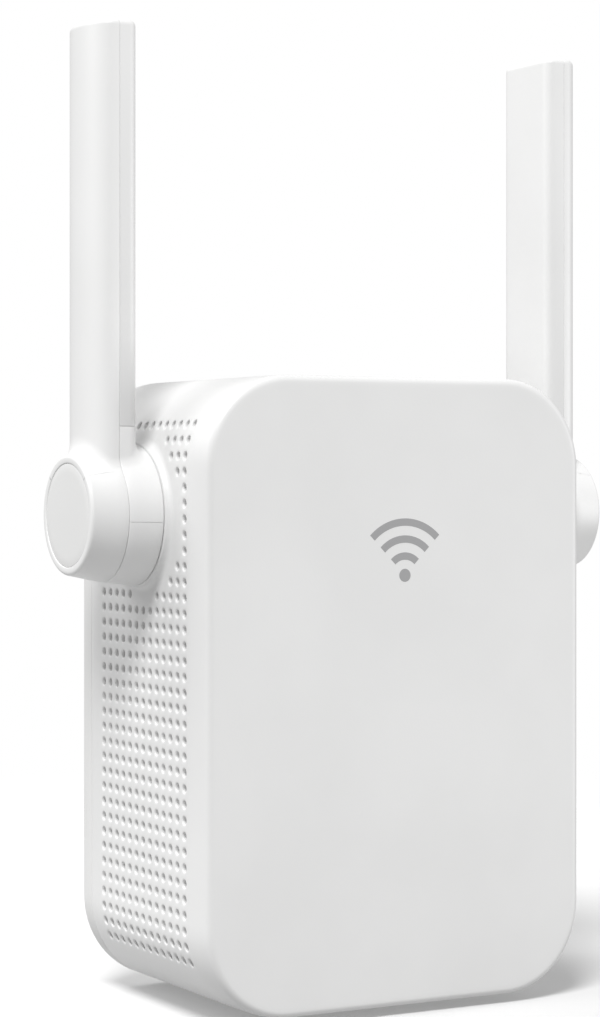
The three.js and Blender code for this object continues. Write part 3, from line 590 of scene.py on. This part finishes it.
def build_plug_insulator():
    """The plug's base with a slot for each blade."""
    low, high = limits("plug_insulator")
    edge = 0.4
    face = high.y - 0.05
    levels = [(1.3, face)] + [(edge + inset, face - drop) for inset, drop in edge_steps(edge)]
    levels.append((edge, low.y))
    outline_at = grown(rounded_rectangle, *PLUG_BASE, steps=6)
    base = loft("plug_base", [along_y(outline_at(-inset), y, 0, 0) for inset, y in levels])
    gap = Vector((0.12, 0, 0.12))
    slots = []
    for name in ("plug_blade_left", "plug_blade_right"):
        blade_low, blade_high = limits(name)
        corner = blade_high + gap
        slots.append(block("slot", blade_low - gap, (corner.x, 2, corner.z)))
    return carve(base, *slots)


def build_plug_blade(name):
    """A plated blade with a rounded tip, softened edges and its locating hole."""
    low, high = limits(name)
    x = (low.x + high.x) / 2
    half = (high.z - low.z) / 2
    thick = (high.x - low.x) / 2
    shoulder = -6.8
    tail = 1.7
    tip = 1.9
    edge = 0.22
    hole_y = 11.9
    hole_radius = 1.6

    def outline(inset):
        side = half - inset
        end = high.y - inset - tip
        points = [(shoulder, -side)]
        points += arc_points(tip, -90, 0, 6, end, -side + tip)
        points += arc_points(tip, 0, 90, 6, end, side - tip)
        points += [(shoulder, side), (shoulder, tail - inset), (low.y, tail - inset)]
        points += [(low.y, inset - tail), (shoulder, inset - tail)]
        return points

    steps = edge_steps(edge, 3)
    levels = [(inset, x - thick + drop) for inset, drop in steps]
    levels += [(inset, x + thick - drop) for inset, drop in reversed(steps)]
    blade = loft("visual_" + name, [along_x(outline(inset), face, 0, 0) for inset, face in levels])
    hole = loft("hole", [along_x(circle(hole_radius, 28), x + s, hole_y, 0) for s in (-2, 2)])
    return carve(blade, hole)


# (radius, y from the head's face) of a cover screw's head
SCREW_HEAD = [(0.9, 0), (1.5, -0.03), (2.0, -0.17), (2.25, -0.42), (2.28, -0.9), (1.0, -0.9)]


def build_cover_screw(name):
    """A pan-head screw with a cross recess."""
    low, high = limits(name)
    x, z = middle_xz(name)
    head = high.y
    profile = [(r, head + back) for r, back in SCREW_HEAD] + [(1.0, low.y + 0.8), (0.3, low.y)]
    body = loft("visual_" + name, [along_y(circle(r, 28), y, x, z) for r, y in profile])
    wide = 1.15
    narrow = 0.28
    slots = [
        block("cross", (x - wide, head - 0.6, z - narrow), (x + wide, head + 1, z + narrow)),
        block("cross", (x - narrow, head - 0.61, z - wide), (x + narrow, head + 1, z + wide)),
    ]
    return carve(body, *slots)


def build_rear_label():
    """A blank rating label in its recess."""
    half_width, half_height, corner = LABEL_SIZE
    y = COVER_HIGH.y - LABEL_DEPTH
    rings = []
    for inset, lift in ((0, 0.01), (0, 0.1), (0.06, 0.13)):
        outline = rounded_rectangle(half_width - inset, half_height - inset, corner)
        rings.append(along_y(outline, y + lift, 0, LABEL_Z))
    return loft("rear_label", rings)


# -------- port, button and lights
def build_jack():
    """The ethernet jack with its flared mouth and the steps for the plug's latch."""
    low, high = limits("ethernet_jack")
    jack = block("port_jack", low, high)
    front = -24.0
    rear = -17.2
    half_width = 5.85
    half_height = (rear - front) / 2
    flare = 0.45
    depth = 13
    rings = []
    for grow, z in ((flare, low.z - 1), (flare, low.z), (0, low.z + flare), (0, low.z + depth)):
        outline = rounded_rectangle(half_width + grow, half_height + grow, 0.3 + grow, 3)
        rings.append(along_z(outline, z, 0, (front + rear) / 2))
    mouth = loft("mouth", rings)
    step = block("latch_step", (-3.1, -18.2, low.z - 1), (3.1, -16.1, low.z + 10))
    slot = block("latch_slot", (-1.7, -18.2, low.z - 1), (1.7, -15.2, low.z + 9))
    return carve(jack, mouth, step, slot)


def build_jack_contacts():
    """Eight gold spring wires slanting up into the port from its front wall."""
    low, _ = limits("ethernet_jack")
    points = []
    faces = []
    pitch = 1.02
    half = 0.17
    section = [(-half, -half), (half, -half), (half, half), (-half, half)]
    path = [(-23.75, low.z + 1.6), (-23.55, low.z + 1.2), (-23.2, low.z + 1.6), (-20.8, low.z + 11.8)]
    for index in range(8):
        rings = []
        for y, z in path:
            rings.append(range(len(points), len(points) + len(section)))
            points += along_z(section, z, (index - 3.5) * pitch, y)
        for low_ring, high_ring in zip(rings, rings[1:]):
            bridge(faces, low_ring, high_ring)
        faces += [tuple(rings[0]), tuple(rings[-1])]
    return make_mesh("port_contacts", points, faces)


def build_button():
    """The push button: a capsule with a soft edge and a shallow dish, on its flange."""
    low, high = limits("wps_button")
    flange = -0.9
    flange_to = HALF_WIDTH - WALL - 0.3
    edge = 0.55
    dish = [(0.8, 0.02), (1.2, 0.09), (1.6, 0.14), (1.9, 0.16)]
    levels = [(flange, low.x), (flange, flange_to), (0, flange_to)]
    levels += [(inset, high.x - drop) for inset, drop in list(reversed(edge_steps(edge, 5))) + dish]
    outline_at = grown(capsule, *BUTTON_SIZE)
    rings = [along_x(outline_at(-inset), x, CONTROLS_Y, BUTTON_Z) for inset, x in levels]
    return loft("push_button", rings)


def build_light_pipe():
    """The bar over the LEDs, with a finger into each window."""
    low, high = limits("light_pipe")
    bar = block("status_light_pipe", low, (LIGHT_BAR_END, high.y, high.z))
    levels = [(0, LIGHT_BAR_END - 0.5), (0, HALF_WIDTH - 0.12)]
    levels += [(0.04, HALF_WIDTH - 0.03), (0.14, HALF_WIDTH)]
    outline_at = grown(capsule, *WINDOW_SIZE, steps=8)
    fingers = []
    for z in WINDOW_ZS:
        rings = [along_x(outline_at(-inset), x, CONTROLS_Y, z) for inset, x in levels]
        fingers.append(loft("finger", rings))
    return unite(bar, *fingers)


# -------- antennas
SEAM_GAP = 0.02
SEAM_EDGE = 0.16
SEAM_STEPS = [(0.0, SEAM_EDGE), (0.04, 0.04), (SEAM_EDGE, 0.0)]
BLADE_SEAM_SHARE = 0.3
BLADE_EDGE = 0.8
SECTION_BASE = SEAM_GAP + SEAM_EDGE

# (reach, rise) of the fillet on the barrel, at the blade's narrow edges and at its two faces
EDGE_FILLET = (0.7, 1.0)
OUTER_FILLET = (0.95, 2.4)
INNER_FILLET = (1.6, 2.2)

# (depth, half width, heights) of the pockets in the seam for the antenna board and its cable
BOARD_POCKET = (1.25, 3.6, (12.2, 59.8))
CABLE_SLOT = (1.45, 1.5, (4, 13))
INNER_CABLE_SLOT = (1.45, 1.5, (10, 13))

CAP_HOLE = 6.7
CAP_EDGE = 0.12
CAP_SEAT = 1.8
CAP_DEPTH = 1.2


def swelling_section():
    """The outer half of the blade: (out, y, normal out, normal y) from one edge to the other."""
    power = 2.3
    thick = BLADE_OUTER - SECTION_BASE
    wide = BLADE_HALF_WIDTH
    section = []
    for t in arc(-90, 90, 36):
        out = abs(cos(t)) ** (2 / power)
        across = copysign(abs(sin(t)) ** (2 / power), sin(t))
        normal = Vector((out ** (power - 1) / thick, across * abs(across) ** (power - 2) / wide))
        normal.normalize()
        section.append((SECTION_BASE + thick * out, wide * across, normal.x, normal.y))
    return section


def flat_section():
    """The inner half of the blade: a flat face between two rounded corners."""
    corner = 1.4
    flat_steps = 12
    side = BLADE_HALF_WIDTH - corner

    def rounded(start, centre):
        turns = [(cos(t), sin(t)) for t in arc(start, start + 90, 8)]
        return [(BLADE_INNER - corner + corner * a, centre + corner * b, a, b) for a, b in turns]

    section = [(SECTION_BASE, -BLADE_HALF_WIDTH, 0, -1)] + rounded(-90, -side)
    for i in range(1, flat_steps):
        section.append((BLADE_INNER, side * (2 * i / flat_steps - 1), 1, 0))
    return section + rounded(0, side) + [(SECTION_BASE, BLADE_HALF_WIDTH, 0, 1)]


def with_seam_edges(section):
    """The section with its softened edges at the seam: (out, y, normals, inset at the barrel).
    The edges are finer along the blade than round the barrel."""
    columns = []
    for out, inset in SEAM_STEPS[:-1]:
        columns.append((SEAM_GAP + out, -BLADE_HALF_WIDTH + BLADE_SEAM_SHARE * inset, 0, -1, inset))
    columns += [(*point, 0.0) for point in section]
    for out, inset in reversed(SEAM_STEPS[:-1]):
        columns.append((SEAM_GAP + out, BLADE_HALF_WIDTH - BLADE_SEAM_SHARE * inset, 0, 1, inset))
    return columns


def drawn_in(column, back, z):
    """A column's point at a height, drawn in from the blade's surface."""
    out, y, normal_out, normal_y, _ = column
    return max(out - normal_out * back, SEAM_GAP), y - normal_y * back, z


def blade_rows(column, top, edge):
    """A column's points round the top edge of the blade, from the top face down."""
    steps = [(edge * 1.35, 0.0)] + edge_steps(edge, 5)
    return [drawn_in(column, back, top - drop) for back, drop in steps]


class AntennaHalf:
    """A blade standing on its barrel, as (out, y, z) points about the hinge axis, and faces.
    `radii` are the barrel's at its seam and where its straight part ends, and `end_profile` is
    its (radius, out) profile from there on."""

    def __init__(self, radii, end_profile):
        self.points = []
        self.faces = []
        self.radii = radii
        self.end_profile = end_profile
        self.straight_end = end_profile[0][1]

    def add(self, new_points):
        first = len(self.points)
        self.points.extend(new_points)
        return list(range(first, len(self.points)))

    def barrel_radius(self, out):
        return self.radii[0] + (self.radii[1] - self.radii[0]) * out / self.straight_end

    def fillet_rows(self, column, face_fillet, steps=10):
        """A column's points round the fillet between the blade and the barrel, from the top
        down. The fillet is a quarter ellipse: its (reach, rise) goes from EDGE_FILLET, where
        the blade runs down the barrel's side, to `face_fillet`, where it stands square on it."""
        out, y, normal_out, normal_y, inset = column
        reach = EDGE_FILLET[0] + (face_fillet[0] - EDGE_FILLET[0]) * normal_out**2
        rise = EDGE_FILLET[1] + (face_fillet[1] - EDGE_FILLET[1]) * normal_out**2
        if normal_out > 0:
            reach = min(reach, (self.straight_end - 0.05 - out) / normal_out)
        rows = []
        for t in arc(0, 90, steps):
            s = reach * (1 - cos(t))
            place_out = out + normal_out * s
            place_y = y + normal_y * s
            surface = sqrt((self.barrel_radius(place_out) - inset) ** 2 - place_y**2)
            rows.append((place_out, place_y, surface + rise * (1 - sin(t))))
        return rows

    def add_blade(self, section, top, top_edge, face_fillet):
        """The blade, in columns from its top face down to the barrel."""
        blade = []
        for column in with_seam_edges(section):
            foot_rows = self.fillet_rows(column, face_fillet)
            blade.append(self.add(blade_rows(column, top, top_edge) + foot_rows))
        add_strips(self.faces, blade)
        self.faces.append(tuple(column[0] for column in blade))
        return blade

    def along_barrel(self, out, y, z, steps=4):
        """Points from a footprint along the barrel and round its end, at one angle."""
        angle = atan2(z, y)
        path = []
        for i in range(1, steps + 1):
            reached = out + (self.straight_end - out) * i / steps
            path.append((self.barrel_radius(reached), reached))
        path += self.end_profile[1:]
        return [(d, r * cos(angle), r * sin(angle)) for r, d in path]

    def barrel_column(self, angle):
        """Points from the seam along the barrel, at an angle clear of the blade."""
        ring = [(SEAM_GAP + out, self.barrel_radius(out) - inset) for out, inset in SEAM_STEPS]
        edge = [(d, r * cos(angle), r * sin(angle)) for d, r in ring]
        return edge + self.along_barrel(*edge[-1])

    def angle_of(self, index):
        return atan2(self.points[index][2], self.points[index][1])

    def add_barrel(self, blade, steps=64):
        """The barrel below the blade and round the hinge axis, and the flat face of the seam."""
        edges = len(SEAM_STEPS) - 1
        barrel = []
        for column in blade[edges:-edges]:
            foot = column[-1]
            barrel.append([foot] + self.add(self.along_barrel(*self.points[foot])))
        add_strips(self.faces, barrel)
        start = self.angle_of(blade[-1 - edges][-1])
        end = self.angle_of(blade[edges][-1])
        sweep = 2 * pi - (end - start) if end > start else start - end
        seam_loop = [blade[-1][-1]]
        previous = [column[-1] for column in reversed(blade[-edges:])] + barrel[-1]
        for k in range(1, steps + 1):
            if k == steps:
                current = [column[-1] for column in blade[:edges]] + barrel[0]
            else:
                current = self.add(self.barrel_column(start - sweep * k / steps))
            add_strips(self.faces, [previous, current])
            seam_loop.append(current[0])
            barrel.append(current[edges:])
            previous = current
        self.faces.append(tuple(column[-1] for column in barrel[:-1]))
        self.faces.append(tuple(blade[0][:-1] + seam_loop[::-1] + blade[-1][:-1][::-1]))


def place_half(name, side, direction, points, faces):
    """The half on its hinge. `direction` is 1 for the outer half and -1 for the inner one."""
    placed = []
    for out, y, z in points:
        placed.append((side * (HINGE_SEAM + direction * out), HINGE_Y + y, HINGE_Z + z))
    return make_mesh(name, placed, faces)


def hinge_rod(side, radius, x_from, x_to):
    """A round bar on the hinge axis."""
    return loft("rod", [hinge_ring(side, radius, x, 40) for x in (x_from, x_to)])


def seam_pocket(side, direction, depth, half_width, heights):
    """A cutter for a pocket in the seam face of the outer (1) or inner (-1) half."""
    mouth = side * (HINGE_SEAM - direction * 0.5)
    floor = side * (HINGE_SEAM + direction * depth)
    low = (mouth, HINGE_Y - half_width, HINGE_Z + heights[0])
    high = (floor, HINGE_Y + half_width, HINGE_Z + heights[1])
    return block("pocket", low, high)


def build_outer_shell(name, side):
    """The outer half of the blade and the outer barrel, open at its end for the cap."""
    end = BARREL_LENGTH
    profile = [(END_RADIUS - inset, end - drop) for inset, drop in reversed(edge_steps(0.5, 6))]
    profile += [(CAP_HOLE + inset, end - drop) for inset, drop in edge_steps(CAP_EDGE, 3)]
    profile.append((CAP_HOLE, end - CAP_SEAT))
    half = AntennaHalf((SEAM_RADIUS, END_RADIUS), profile)
    half.add_barrel(half.add_blade(swelling_section(), BLADE_TOP, BLADE_EDGE, OUTER_FILLET))
    return carve(
        place_half(name, side, 1, half.points, half.faces),
        hinge_rod(side, HOLLOW_RADIUS, HINGE_SEAM - 0.5, HINGE_SEAM + end - HOLLOW_MARGIN),
        seam_pocket(side, 1, *BOARD_POCKET),
        seam_pocket(side, 1, *CABLE_SLOT),
    )


def parting_line(side):
    """A thin cutter along the knuckle's front, where its mould parts."""
    half_width = 0.07
    dip = radians(5.3)
    line = block("parting_line", (-4, -half_width, -half_width), (4, half_width, half_width))
    slope = atan((WALL_RADIUS - SEAM_RADIUS) / KNUCKLE_LENGTH)
    down = Matrix.Rotation(dip, 4, "X")
    lean = Matrix.Rotation(side * slope, 4, "Z")
    middle = Vector((side * (HINGE_SEAM - KNUCKLE_LENGTH / 2), HINGE_Y, HINGE_Z)) * MM
    reach = Vector((0, -(WALL_RADIUS + SEAM_RADIUS) / 2, 0)) * MM
    line.data.transform(Matrix.Translation(middle) @ down @ Matrix.Translation(reach) @ lean)
    return line


def build_knuckle(name, side):
    """The inner barrel with its stub of blade, and the hollow shaft that turns in the housing."""
    end = KNUCKLE_LENGTH
    profile = [(WALL_RADIUS - inset, end - drop) for inset, drop in reversed(edge_steps(0.2, 3))]
    profile += [(7.2, end), (4.1, end)]
    half = AntennaHalf((SEAM_RADIUS, WALL_RADIUS), profile)
    half.add_barrel(half.add_blade(flat_section(), CROSS_SEAM - SEAM_GAP, 0.1, INNER_FILLET))
    knuckle = place_half(name, side, -1, half.points, half.faces)
    shaft_low = min(abs(KNUCKLE_LOW.x), abs(KNUCKLE_HIGH.x))
    shaft = hinge_rod(side, SHAFT_RADIUS, shaft_low, HINGE_SEAM - end + 0.5)
    groove = hinge_rod(side, SHAFT_RADIUS + 1, *CLIP_GROOVE)
    core = hinge_rod(side, CLIP_RADIUS, CLIP_GROOVE[0] - 0.3, CLIP_GROOVE[1] + 0.3)
    return carve(
        unite(knuckle, carve(shaft, carve(groove, core))),
        parting_line(side),
        hinge_rod(side, COAX_BORE_RADIUS, shaft_low - 1, HINGE_SEAM + 0.5),
        hinge_rod(side, HOLLOW_RADIUS, HINGE_SEAM - 2.1, HINGE_SEAM + 0.5),
        seam_pocket(side, -1, *CABLE_SLOT),
    )


def build_inner_shell(name, side):
    """The inner half of the blade above the cross seam."""
    bottom = CROSS_SEAM + SEAM_GAP
    points = []
    faces = []
    columns = []
    for column in with_seam_edges(flat_section()):
        rows = blade_rows(column, BLADE_TOP, BLADE_EDGE)
        rows += [drawn_in(column, back, bottom + lift) for back, lift in reversed(edge_steps(0.1, 2))]
        first = len(points)
        points += rows
        columns.append(list(range(first, len(points))))
    add_strips(faces, columns)
    faces.append(tuple(column[0] for column in columns))
    faces.append(tuple(column[-1] for column in columns))
    faces.append(tuple(columns[0] + columns[-1][::-1]))
    return carve(
        place_half(name, side, -1, points, faces),
        seam_pocket(side, -1, *BOARD_POCKET),
        seam_pocket(side, -1, *INNER_CABLE_SLOT),
    )


def build_hinge_cap(name, side):
    """The round cap, a little crowned, in the end of the barrel."""
    face = HINGE_SEAM + BARREL_LENGTH - 0.02
    radius = CAP_HOLE - 0.01
    profile = [(radius, face - CAP_DEPTH)]
    for inset, drop in reversed(edge_steps(CAP_EDGE, 3)):
        profile.append((radius - inset, face - 0.04 - drop))
    profile += [(5.5, face - 0.025), (3.5, face - 0.01), (1.5, face)]
    return loft(name, [hinge_ring(side, radius, x, 96) for radius, x in profile])


# -------- printed mark
MARK_CENTRE = (0.6, -5.2)
MARK_ARCS = (2.5, 4.7, 6.9)
MARK_LINE = 0.95
MARK_DOT = 0.85
MARK_FACES = (FRONT - 0.015, FRONT + 0.02)


def build_signal_mark():
    """A plain signal fan printed on the front: a dot under three arcs."""
    shapes = []
    for radius in MARK_ARCS:
        outward = arc_points(radius + MARK_LINE / 2, 45, 135, 24)
        shapes.append(outward + arc_points(radius - MARK_LINE / 2, 135, 45, 24))
    shapes.append(circle(MARK_DOT, 28))
    points = []
    faces = []
    for shape in shapes:
        rings = []
        for y in MARK_FACES:
            rings.append(list(range(len(points), len(points) + len(shape))))
            points += along_y(shape, y, *MARK_CENTRE)
        faces += [tuple(ring) for ring in rings]
        bridge(faces, *rings)
    return make_mesh("printed_mark", points, faces)


# -------- materials
def link(tree, from_node, from_socket, to_node, to_socket):
    """Joins an output to an input."""
    tree.links.new(from_node.outputs[from_socket], to_node.inputs[to_socket])


def add_node(tree, kind, **inputs):
    """A new node with some inputs set. An underscore in a name stands for a space."""
    node = tree.nodes.new(kind)
    for name, value in inputs.items():
        node.inputs[name.replace("_", " ")].default_value = value
    return node


def add_noise(tree, place, **inputs):
    """A noise over a node's object coordinates."""
    noise = add_node(tree, "ShaderNodeTexNoise", **inputs)
    link(tree, place, "Object", noise, "Vector")
    return noise


def shade(low, high, tree, noise, target, socket):
    """Maps a noise to a number between low and high on the target's socket."""
    ramp = add_node(tree, "ShaderNodeMapRange", From_Min=0.35, From_Max=0.65, To_Min=low, To_Max=high)
    link(tree, noise, "Fac", ramp, "Value")
    link(tree, ramp, "Result", target, socket)


def grained(grain, depth, coat, metallic=0.0):
    """A material with a fine surface grain, and its tree, shader, coordinates and grain noise."""
    material = bpy.data.materials.new("material")
    material.use_nodes = True
    tree = material.node_tree
    shader = tree.nodes["Principled BSDF"]
    shader.inputs["Metallic"].default_value = metallic
    shader.inputs["Coat Weight"].default_value = coat
    place = tree.nodes.new("ShaderNodeTexCoord")
    fine = add_noise(tree, place, Scale=1 / (grain * MM), Detail=2.0, Roughness=0.5)
    bump = add_node(tree, "ShaderNodeBump", Strength=1.0, Distance=depth * MM)
    link(tree, fine, "Fac", bump, "Height")
    link(tree, bump, "Normal", shader, "Normal")
    return material, tree, shader, place, fine


def add_drift(tree, shader, place, colour, drift):
    """Lets the colour drift slowly over the surface."""
    slow = add_noise(tree, place, Scale=60.0, Detail=3.0, Roughness=0.5)
    mix = tree.nodes.new("ShaderNodeMix")
    mix.data_type = "RGBA"
    mix.inputs["A"].default_value = (*[max(c - drift, 0) for c in colour], 1)
    mix.inputs["B"].default_value = (*[min(c + drift, 1) for c in colour], 1)
    shade(0, 1, tree, slow, mix, "Factor")
    link(tree, mix, "Result", shader, "Base Color")


def moulded(colour, roughness, grain=0.25, depth=0.004, drift=0.012, coat=0.0):
    """A material with a fine surface grain, slow colour drift and uneven gloss.
    `grain` is the size of the grain and `depth` its height, in millimetres."""
    material, tree, shader, place, fine = grained(grain, depth, coat)
    add_drift(tree, shader, place, colour, drift)
    shade(roughness - 0.04, roughness + 0.04, tree, fine, shader, "Roughness")
    return material


def brushed(colour, roughness, stretch):
    """A metal with fine brush lines along one axis."""
    material, tree, shader, place, _ = grained(0.2, 0.002, 0.0, metallic=1.0)
    add_drift(tree, shader, place, colour, 0.03)
    mapping = add_node(tree, "ShaderNodeMapping", Scale=stretch)
    lines = add_node(tree, "ShaderNodeTexNoise", Scale=700.0, Detail=4.0, Roughness=0.6)
    link(tree, place, "Object", mapping, "Vector")
    link(tree, mapping, "Vector", lines, "Vector")
    shade(roughness - 0.08, roughness + 0.1, tree, lines, shader, "Roughness")
    return material


def circuit_board(colour, roughness):
    """Green solder mask over a faint net of tracks."""
    material, tree, shader, place, fine = grained(0.6, 0.01, 0.3)
    shade(roughness - 0.04, roughness + 0.04, tree, fine, shader, "Roughness")
    turn = add_node(tree, "ShaderNodeMapping", Rotation=(radians(90), 0, 0))
    tracks = add_node(tree, "ShaderNodeTexBrick", Scale=160.0, Mortar_Size=0.035)
    tracks.inputs["Color1"].default_value = (*colour, 1)
    tracks.inputs["Color2"].default_value = (*[c * 0.8 for c in colour], 1)
    tracks.inputs["Mortar"].default_value = (*[min(c * 1.6, 1) for c in colour], 1)
    link(tree, place, "Object", turn, "Vector")
    link(tree, turn, "Vector", tracks, "Vector")
    link(tree, tracks, "Color", shader, "Base Color")
    return material


def clear_plastic(colour):
    """Frosted translucent plastic."""
    material = moulded(colour, 0.35, grain=0.15, drift=0.01)
    material.node_tree.nodes["Principled BSDF"].inputs["Transmission Weight"].default_value = 0.35
    return material


MATERIALS = {
    "housing_white": moulded((0.80, 0.80, 0.797), 0.42, grain=0.35, depth=0.0035),
    "cover_white": moulded((0.775, 0.775, 0.77), 0.5, grain=0.5, depth=0.008),
    "plug_base_white": moulded((0.76, 0.76, 0.745), 0.48, grain=0.5, depth=0.006),
    "antenna_white": moulded((0.84, 0.84, 0.837), 0.4, grain=0.3, depth=0.0025),
    "cap_white": moulded((0.80, 0.80, 0.795), 0.42, grain=0.4),
    "button_white": moulded((0.77, 0.77, 0.765), 0.4, grain=0.4),
    "nickel_plate": brushed((0.72, 0.69, 0.63), 0.26, stretch=(1, 0.04, 1)),
    "board_green": circuit_board((0.02, 0.10, 0.045), 0.4),
    "black_plastic": moulded((0.018, 0.018, 0.02), 0.45, depth=0.006, drift=0.004),
    "steel": brushed((0.58, 0.59, 0.60), 0.32, stretch=(1, 1, 8)),
    "aluminium": brushed((0.72, 0.73, 0.74), 0.38, stretch=(0.05, 1, 1)),
    "ferrite": moulded((0.035, 0.035, 0.037), 0.7, grain=0.3, depth=0.02, drift=0.01),
    "winding_tape": moulded((0.70, 0.46, 0.04), 0.3, depth=0.01, drift=0.04, coat=0.4),
    "capacitor_sleeve": moulded((0.02, 0.022, 0.03), 0.3, coat=0.3),
    "fuse_sleeve": moulded((0.06, 0.17, 0.07), 0.4, depth=0.005, drift=0.01),
    "blue_resin": moulded((0.03, 0.11, 0.34), 0.35, depth=0.015, drift=0.015, coat=0.3),
    "light_guide": clear_plastic((0.72, 0.75, 0.77)),
    "led_resin": moulded((0.80, 0.72, 0.38), 0.25, coat=0.4),
    "film": moulded((0.62, 0.58, 0.46), 0.3, grain=0.5, coat=0.3),
    "cable_grey": moulded((0.075, 0.077, 0.08), 0.5, depth=0.008),
    "antenna_board": moulded((0.20, 0.11, 0.03), 0.4, depth=0.006, drift=0.02),
    "print_grey": moulded((0.36, 0.36, 0.365), 0.5, grain=0.2, depth=0.002, drift=0.006),
    "label_paper": moulded((0.66, 0.665, 0.67), 0.34, grain=0.6, depth=0.006, drift=0.01),
    "contact_gold": brushed((0.83, 0.62, 0.25), 0.2, stretch=(1, 1, 0.05)),
    "floor_paper": moulded((0.86, 0.86, 0.86), 0.7, grain=2.0, depth=0.01, drift=0.004),
}
for material_name, named_material in MATERIALS.items():
    named_material.name = material_name


def finish_piece(piece, body, slot, *nodes, material=None):
    """Gives a piece its material (the slot's, unless another is named) and its body, and hides the
    CAD nodes that it stands for.
    """
    piece.data.materials.clear()
    piece.data.materials.append(MATERIALS[material or slot])
    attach(piece, body)
    if nodes:
        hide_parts(*nodes)


# -------- assembly
finish_piece(build_front_shell(), "housing", "housing_white", "front_shell")
finish_piece(build_rear_cover(), "housing", "cover_white", "rear_cover")
finish_piece(build_plug_insulator(), "housing", "plug_base_white", "plug_insulator")
finish_piece(build_rear_label(), "housing", "cover_white", material="label_paper")
finish_piece(build_signal_mark(), "housing", "housing_white", material="print_grey")
finish_piece(build_jack(), "housing", "black_plastic", "ethernet_jack")
finish_piece(build_jack_contacts(), "housing", "nickel_plate", material="contact_gold")
finish_piece(build_light_pipe(), "housing", "light_guide", "light_pipe")
finish_piece(build_button(), "wps_button", "button_white", "wps_button")
for side_name, side_sign in SIDES.items():
    blade_node = "plug_blade_" + side_name
    screw_node = "cover_screw_" + side_name
    antenna = "antenna_" + side_name
    finish_piece(build_plug_blade(blade_node), "housing", "nickel_plate", blade_node)
    finish_piece(build_cover_screw(screw_node), "housing", "steel", screw_node)
    for piece_name, build, slot_name in (
        ("antenna_outer_shell_", build_outer_shell, "antenna_white"),
        ("antenna_inner_shell_", build_inner_shell, "antenna_white"),
        ("hinge_knuckle_", build_knuckle, "antenna_white"),
        ("hinge_cap_", build_hinge_cap, "cap_white"),
    ):
        node_name = piece_name + side_name
        finish_piece(build("visual_" + node_name, side_sign), antenna, slot_name, node_name)

slot_of = {entry["node"]: entry["material_slot"] for entry in frame["record"]["subparts"]}
for node_name, node_object in frame["nodes"].items():
    node_object.data.materials.clear()
    node_object.data.materials.append(MATERIALS[slot_of[node_name]])


# -------- stage, light and camera
SURROUND_LIGHT = 0.46
WHITE = (1, 1, 1, 1)
FLOOR_Z = -62.2
FLOOR_RADII = (3, 100, 200, 300, 500, 800, 1200)
FLOOR_SIDES = 48

# the photo's camera, from the straight edges of the housing and the outlet's plate
CAMERA_LENS = 95.3
CAMERA_SHIFT = -0.0315
CAMERA_PLACE = (-0.1805, -0.3351, 0.0076)
CAMERA_TURN = -29.03


def build_floor():
    """A pale round floor whose edge fades into the white studio."""
    points = []
    for radius in FLOOR_RADII:
        points += along_z(circle(radius, FLOOR_SIDES), FLOOR_Z, 0, 0)
    rings = [range(i, i + FLOOR_SIDES) for i in range(0, len(points), FLOOR_SIDES)]
    faces = [tuple(rings[0])]
    for inner, outer in zip(rings, rings[1:]):
        bridge(faces, inner, outer)
    floor = make_mesh("floor", points, faces)
    material = MATERIALS["floor_paper"]
    tree = material.node_tree
    place = tree.nodes.new("ShaderNodeTexCoord")
    distance = tree.nodes.new("ShaderNodeVectorMath")
    distance.operation = "LENGTH"
    fade = add_node(tree, "ShaderNodeMapRange", From_Min=0.06, From_Max=0.28, To_Min=1.0, To_Max=0.0)
    fade.interpolation_type = "SMOOTHSTEP"
    link(tree, place, "Object", distance, 0)
    link(tree, distance, "Value", fade, "Value")
    link(tree, fade, "Result", tree.nodes["Principled BSDF"], "Alpha")
    floor.data.materials.append(material)
    floor.visible_diffuse = False


def distant_light(name, azimuth, elevation, softness, strength):
    """A broad light far away, in degrees: azimuth 0 is in front of the housing and 90 left of it."""
    lamp = bpy.data.lights.new(name, "SUN")
    lamp.angle = radians(softness)
    lamp.energy = strength
    turn = radians(azimuth)
    rise = radians(elevation)
    level = cos(rise)
    towards = Vector((-sin(turn) * level, -cos(turn) * level, sin(rise)))
    add_object(name, lamp).rotation_euler = towards.to_track_quat("Z", "Y").to_euler()


def build_world():
    """Even light from all round, and a white backdrop."""
    world = bpy.data.worlds.new("studio")
    bpy.context.scene.world = world
    world.use_nodes = True
    tree = world.node_tree
    light = tree.nodes["Background"]
    light.inputs["Color"].default_value = WHITE
    light.inputs["Strength"].default_value = SURROUND_LIGHT
    seen = add_node(tree, "ShaderNodeBackground", Color=WHITE, Strength=1.0)
    ray = tree.nodes.new("ShaderNodeLightPath")
    choose = tree.nodes.new("ShaderNodeMixShader")
    link(tree, ray, "Is Camera Ray", choose, 0)
    link(tree, light, "Background", choose, 1)
    link(tree, seen, "Background", choose, 2)
    link(tree, choose, "Shader", tree.nodes["World Output"], "Surface")


def build_camera():
    """The photo's camera, level and turned towards the housing's front left."""
    camera = bpy.data.cameras.new("camera")
    camera.sensor_width = 36
    camera.lens = CAMERA_LENS
    camera.shift_y = CAMERA_SHIFT
    camera.clip_start = 0.01
    holder = add_object("camera", camera)
    holder.location = CAMERA_PLACE
    holder.rotation_euler = (radians(90), 0, radians(CAMERA_TURN))
    bpy.context.scene.camera = holder


build_floor()
build_world()
distant_light("key_light", azimuth=46, elevation=54, softness=20, strength=2.4)
distant_light("rear_light", azimuth=140, elevation=55, softness=30, strength=0.6)
distant_light("left_fill", azimuth=120, elevation=30, softness=30, strength=0.6)
distant_light("right_fill", azimuth=-60, elevation=0, softness=30, strength=1.0)
build_camera()
bpy.context.scene.view_settings.view_transform = "Standard"
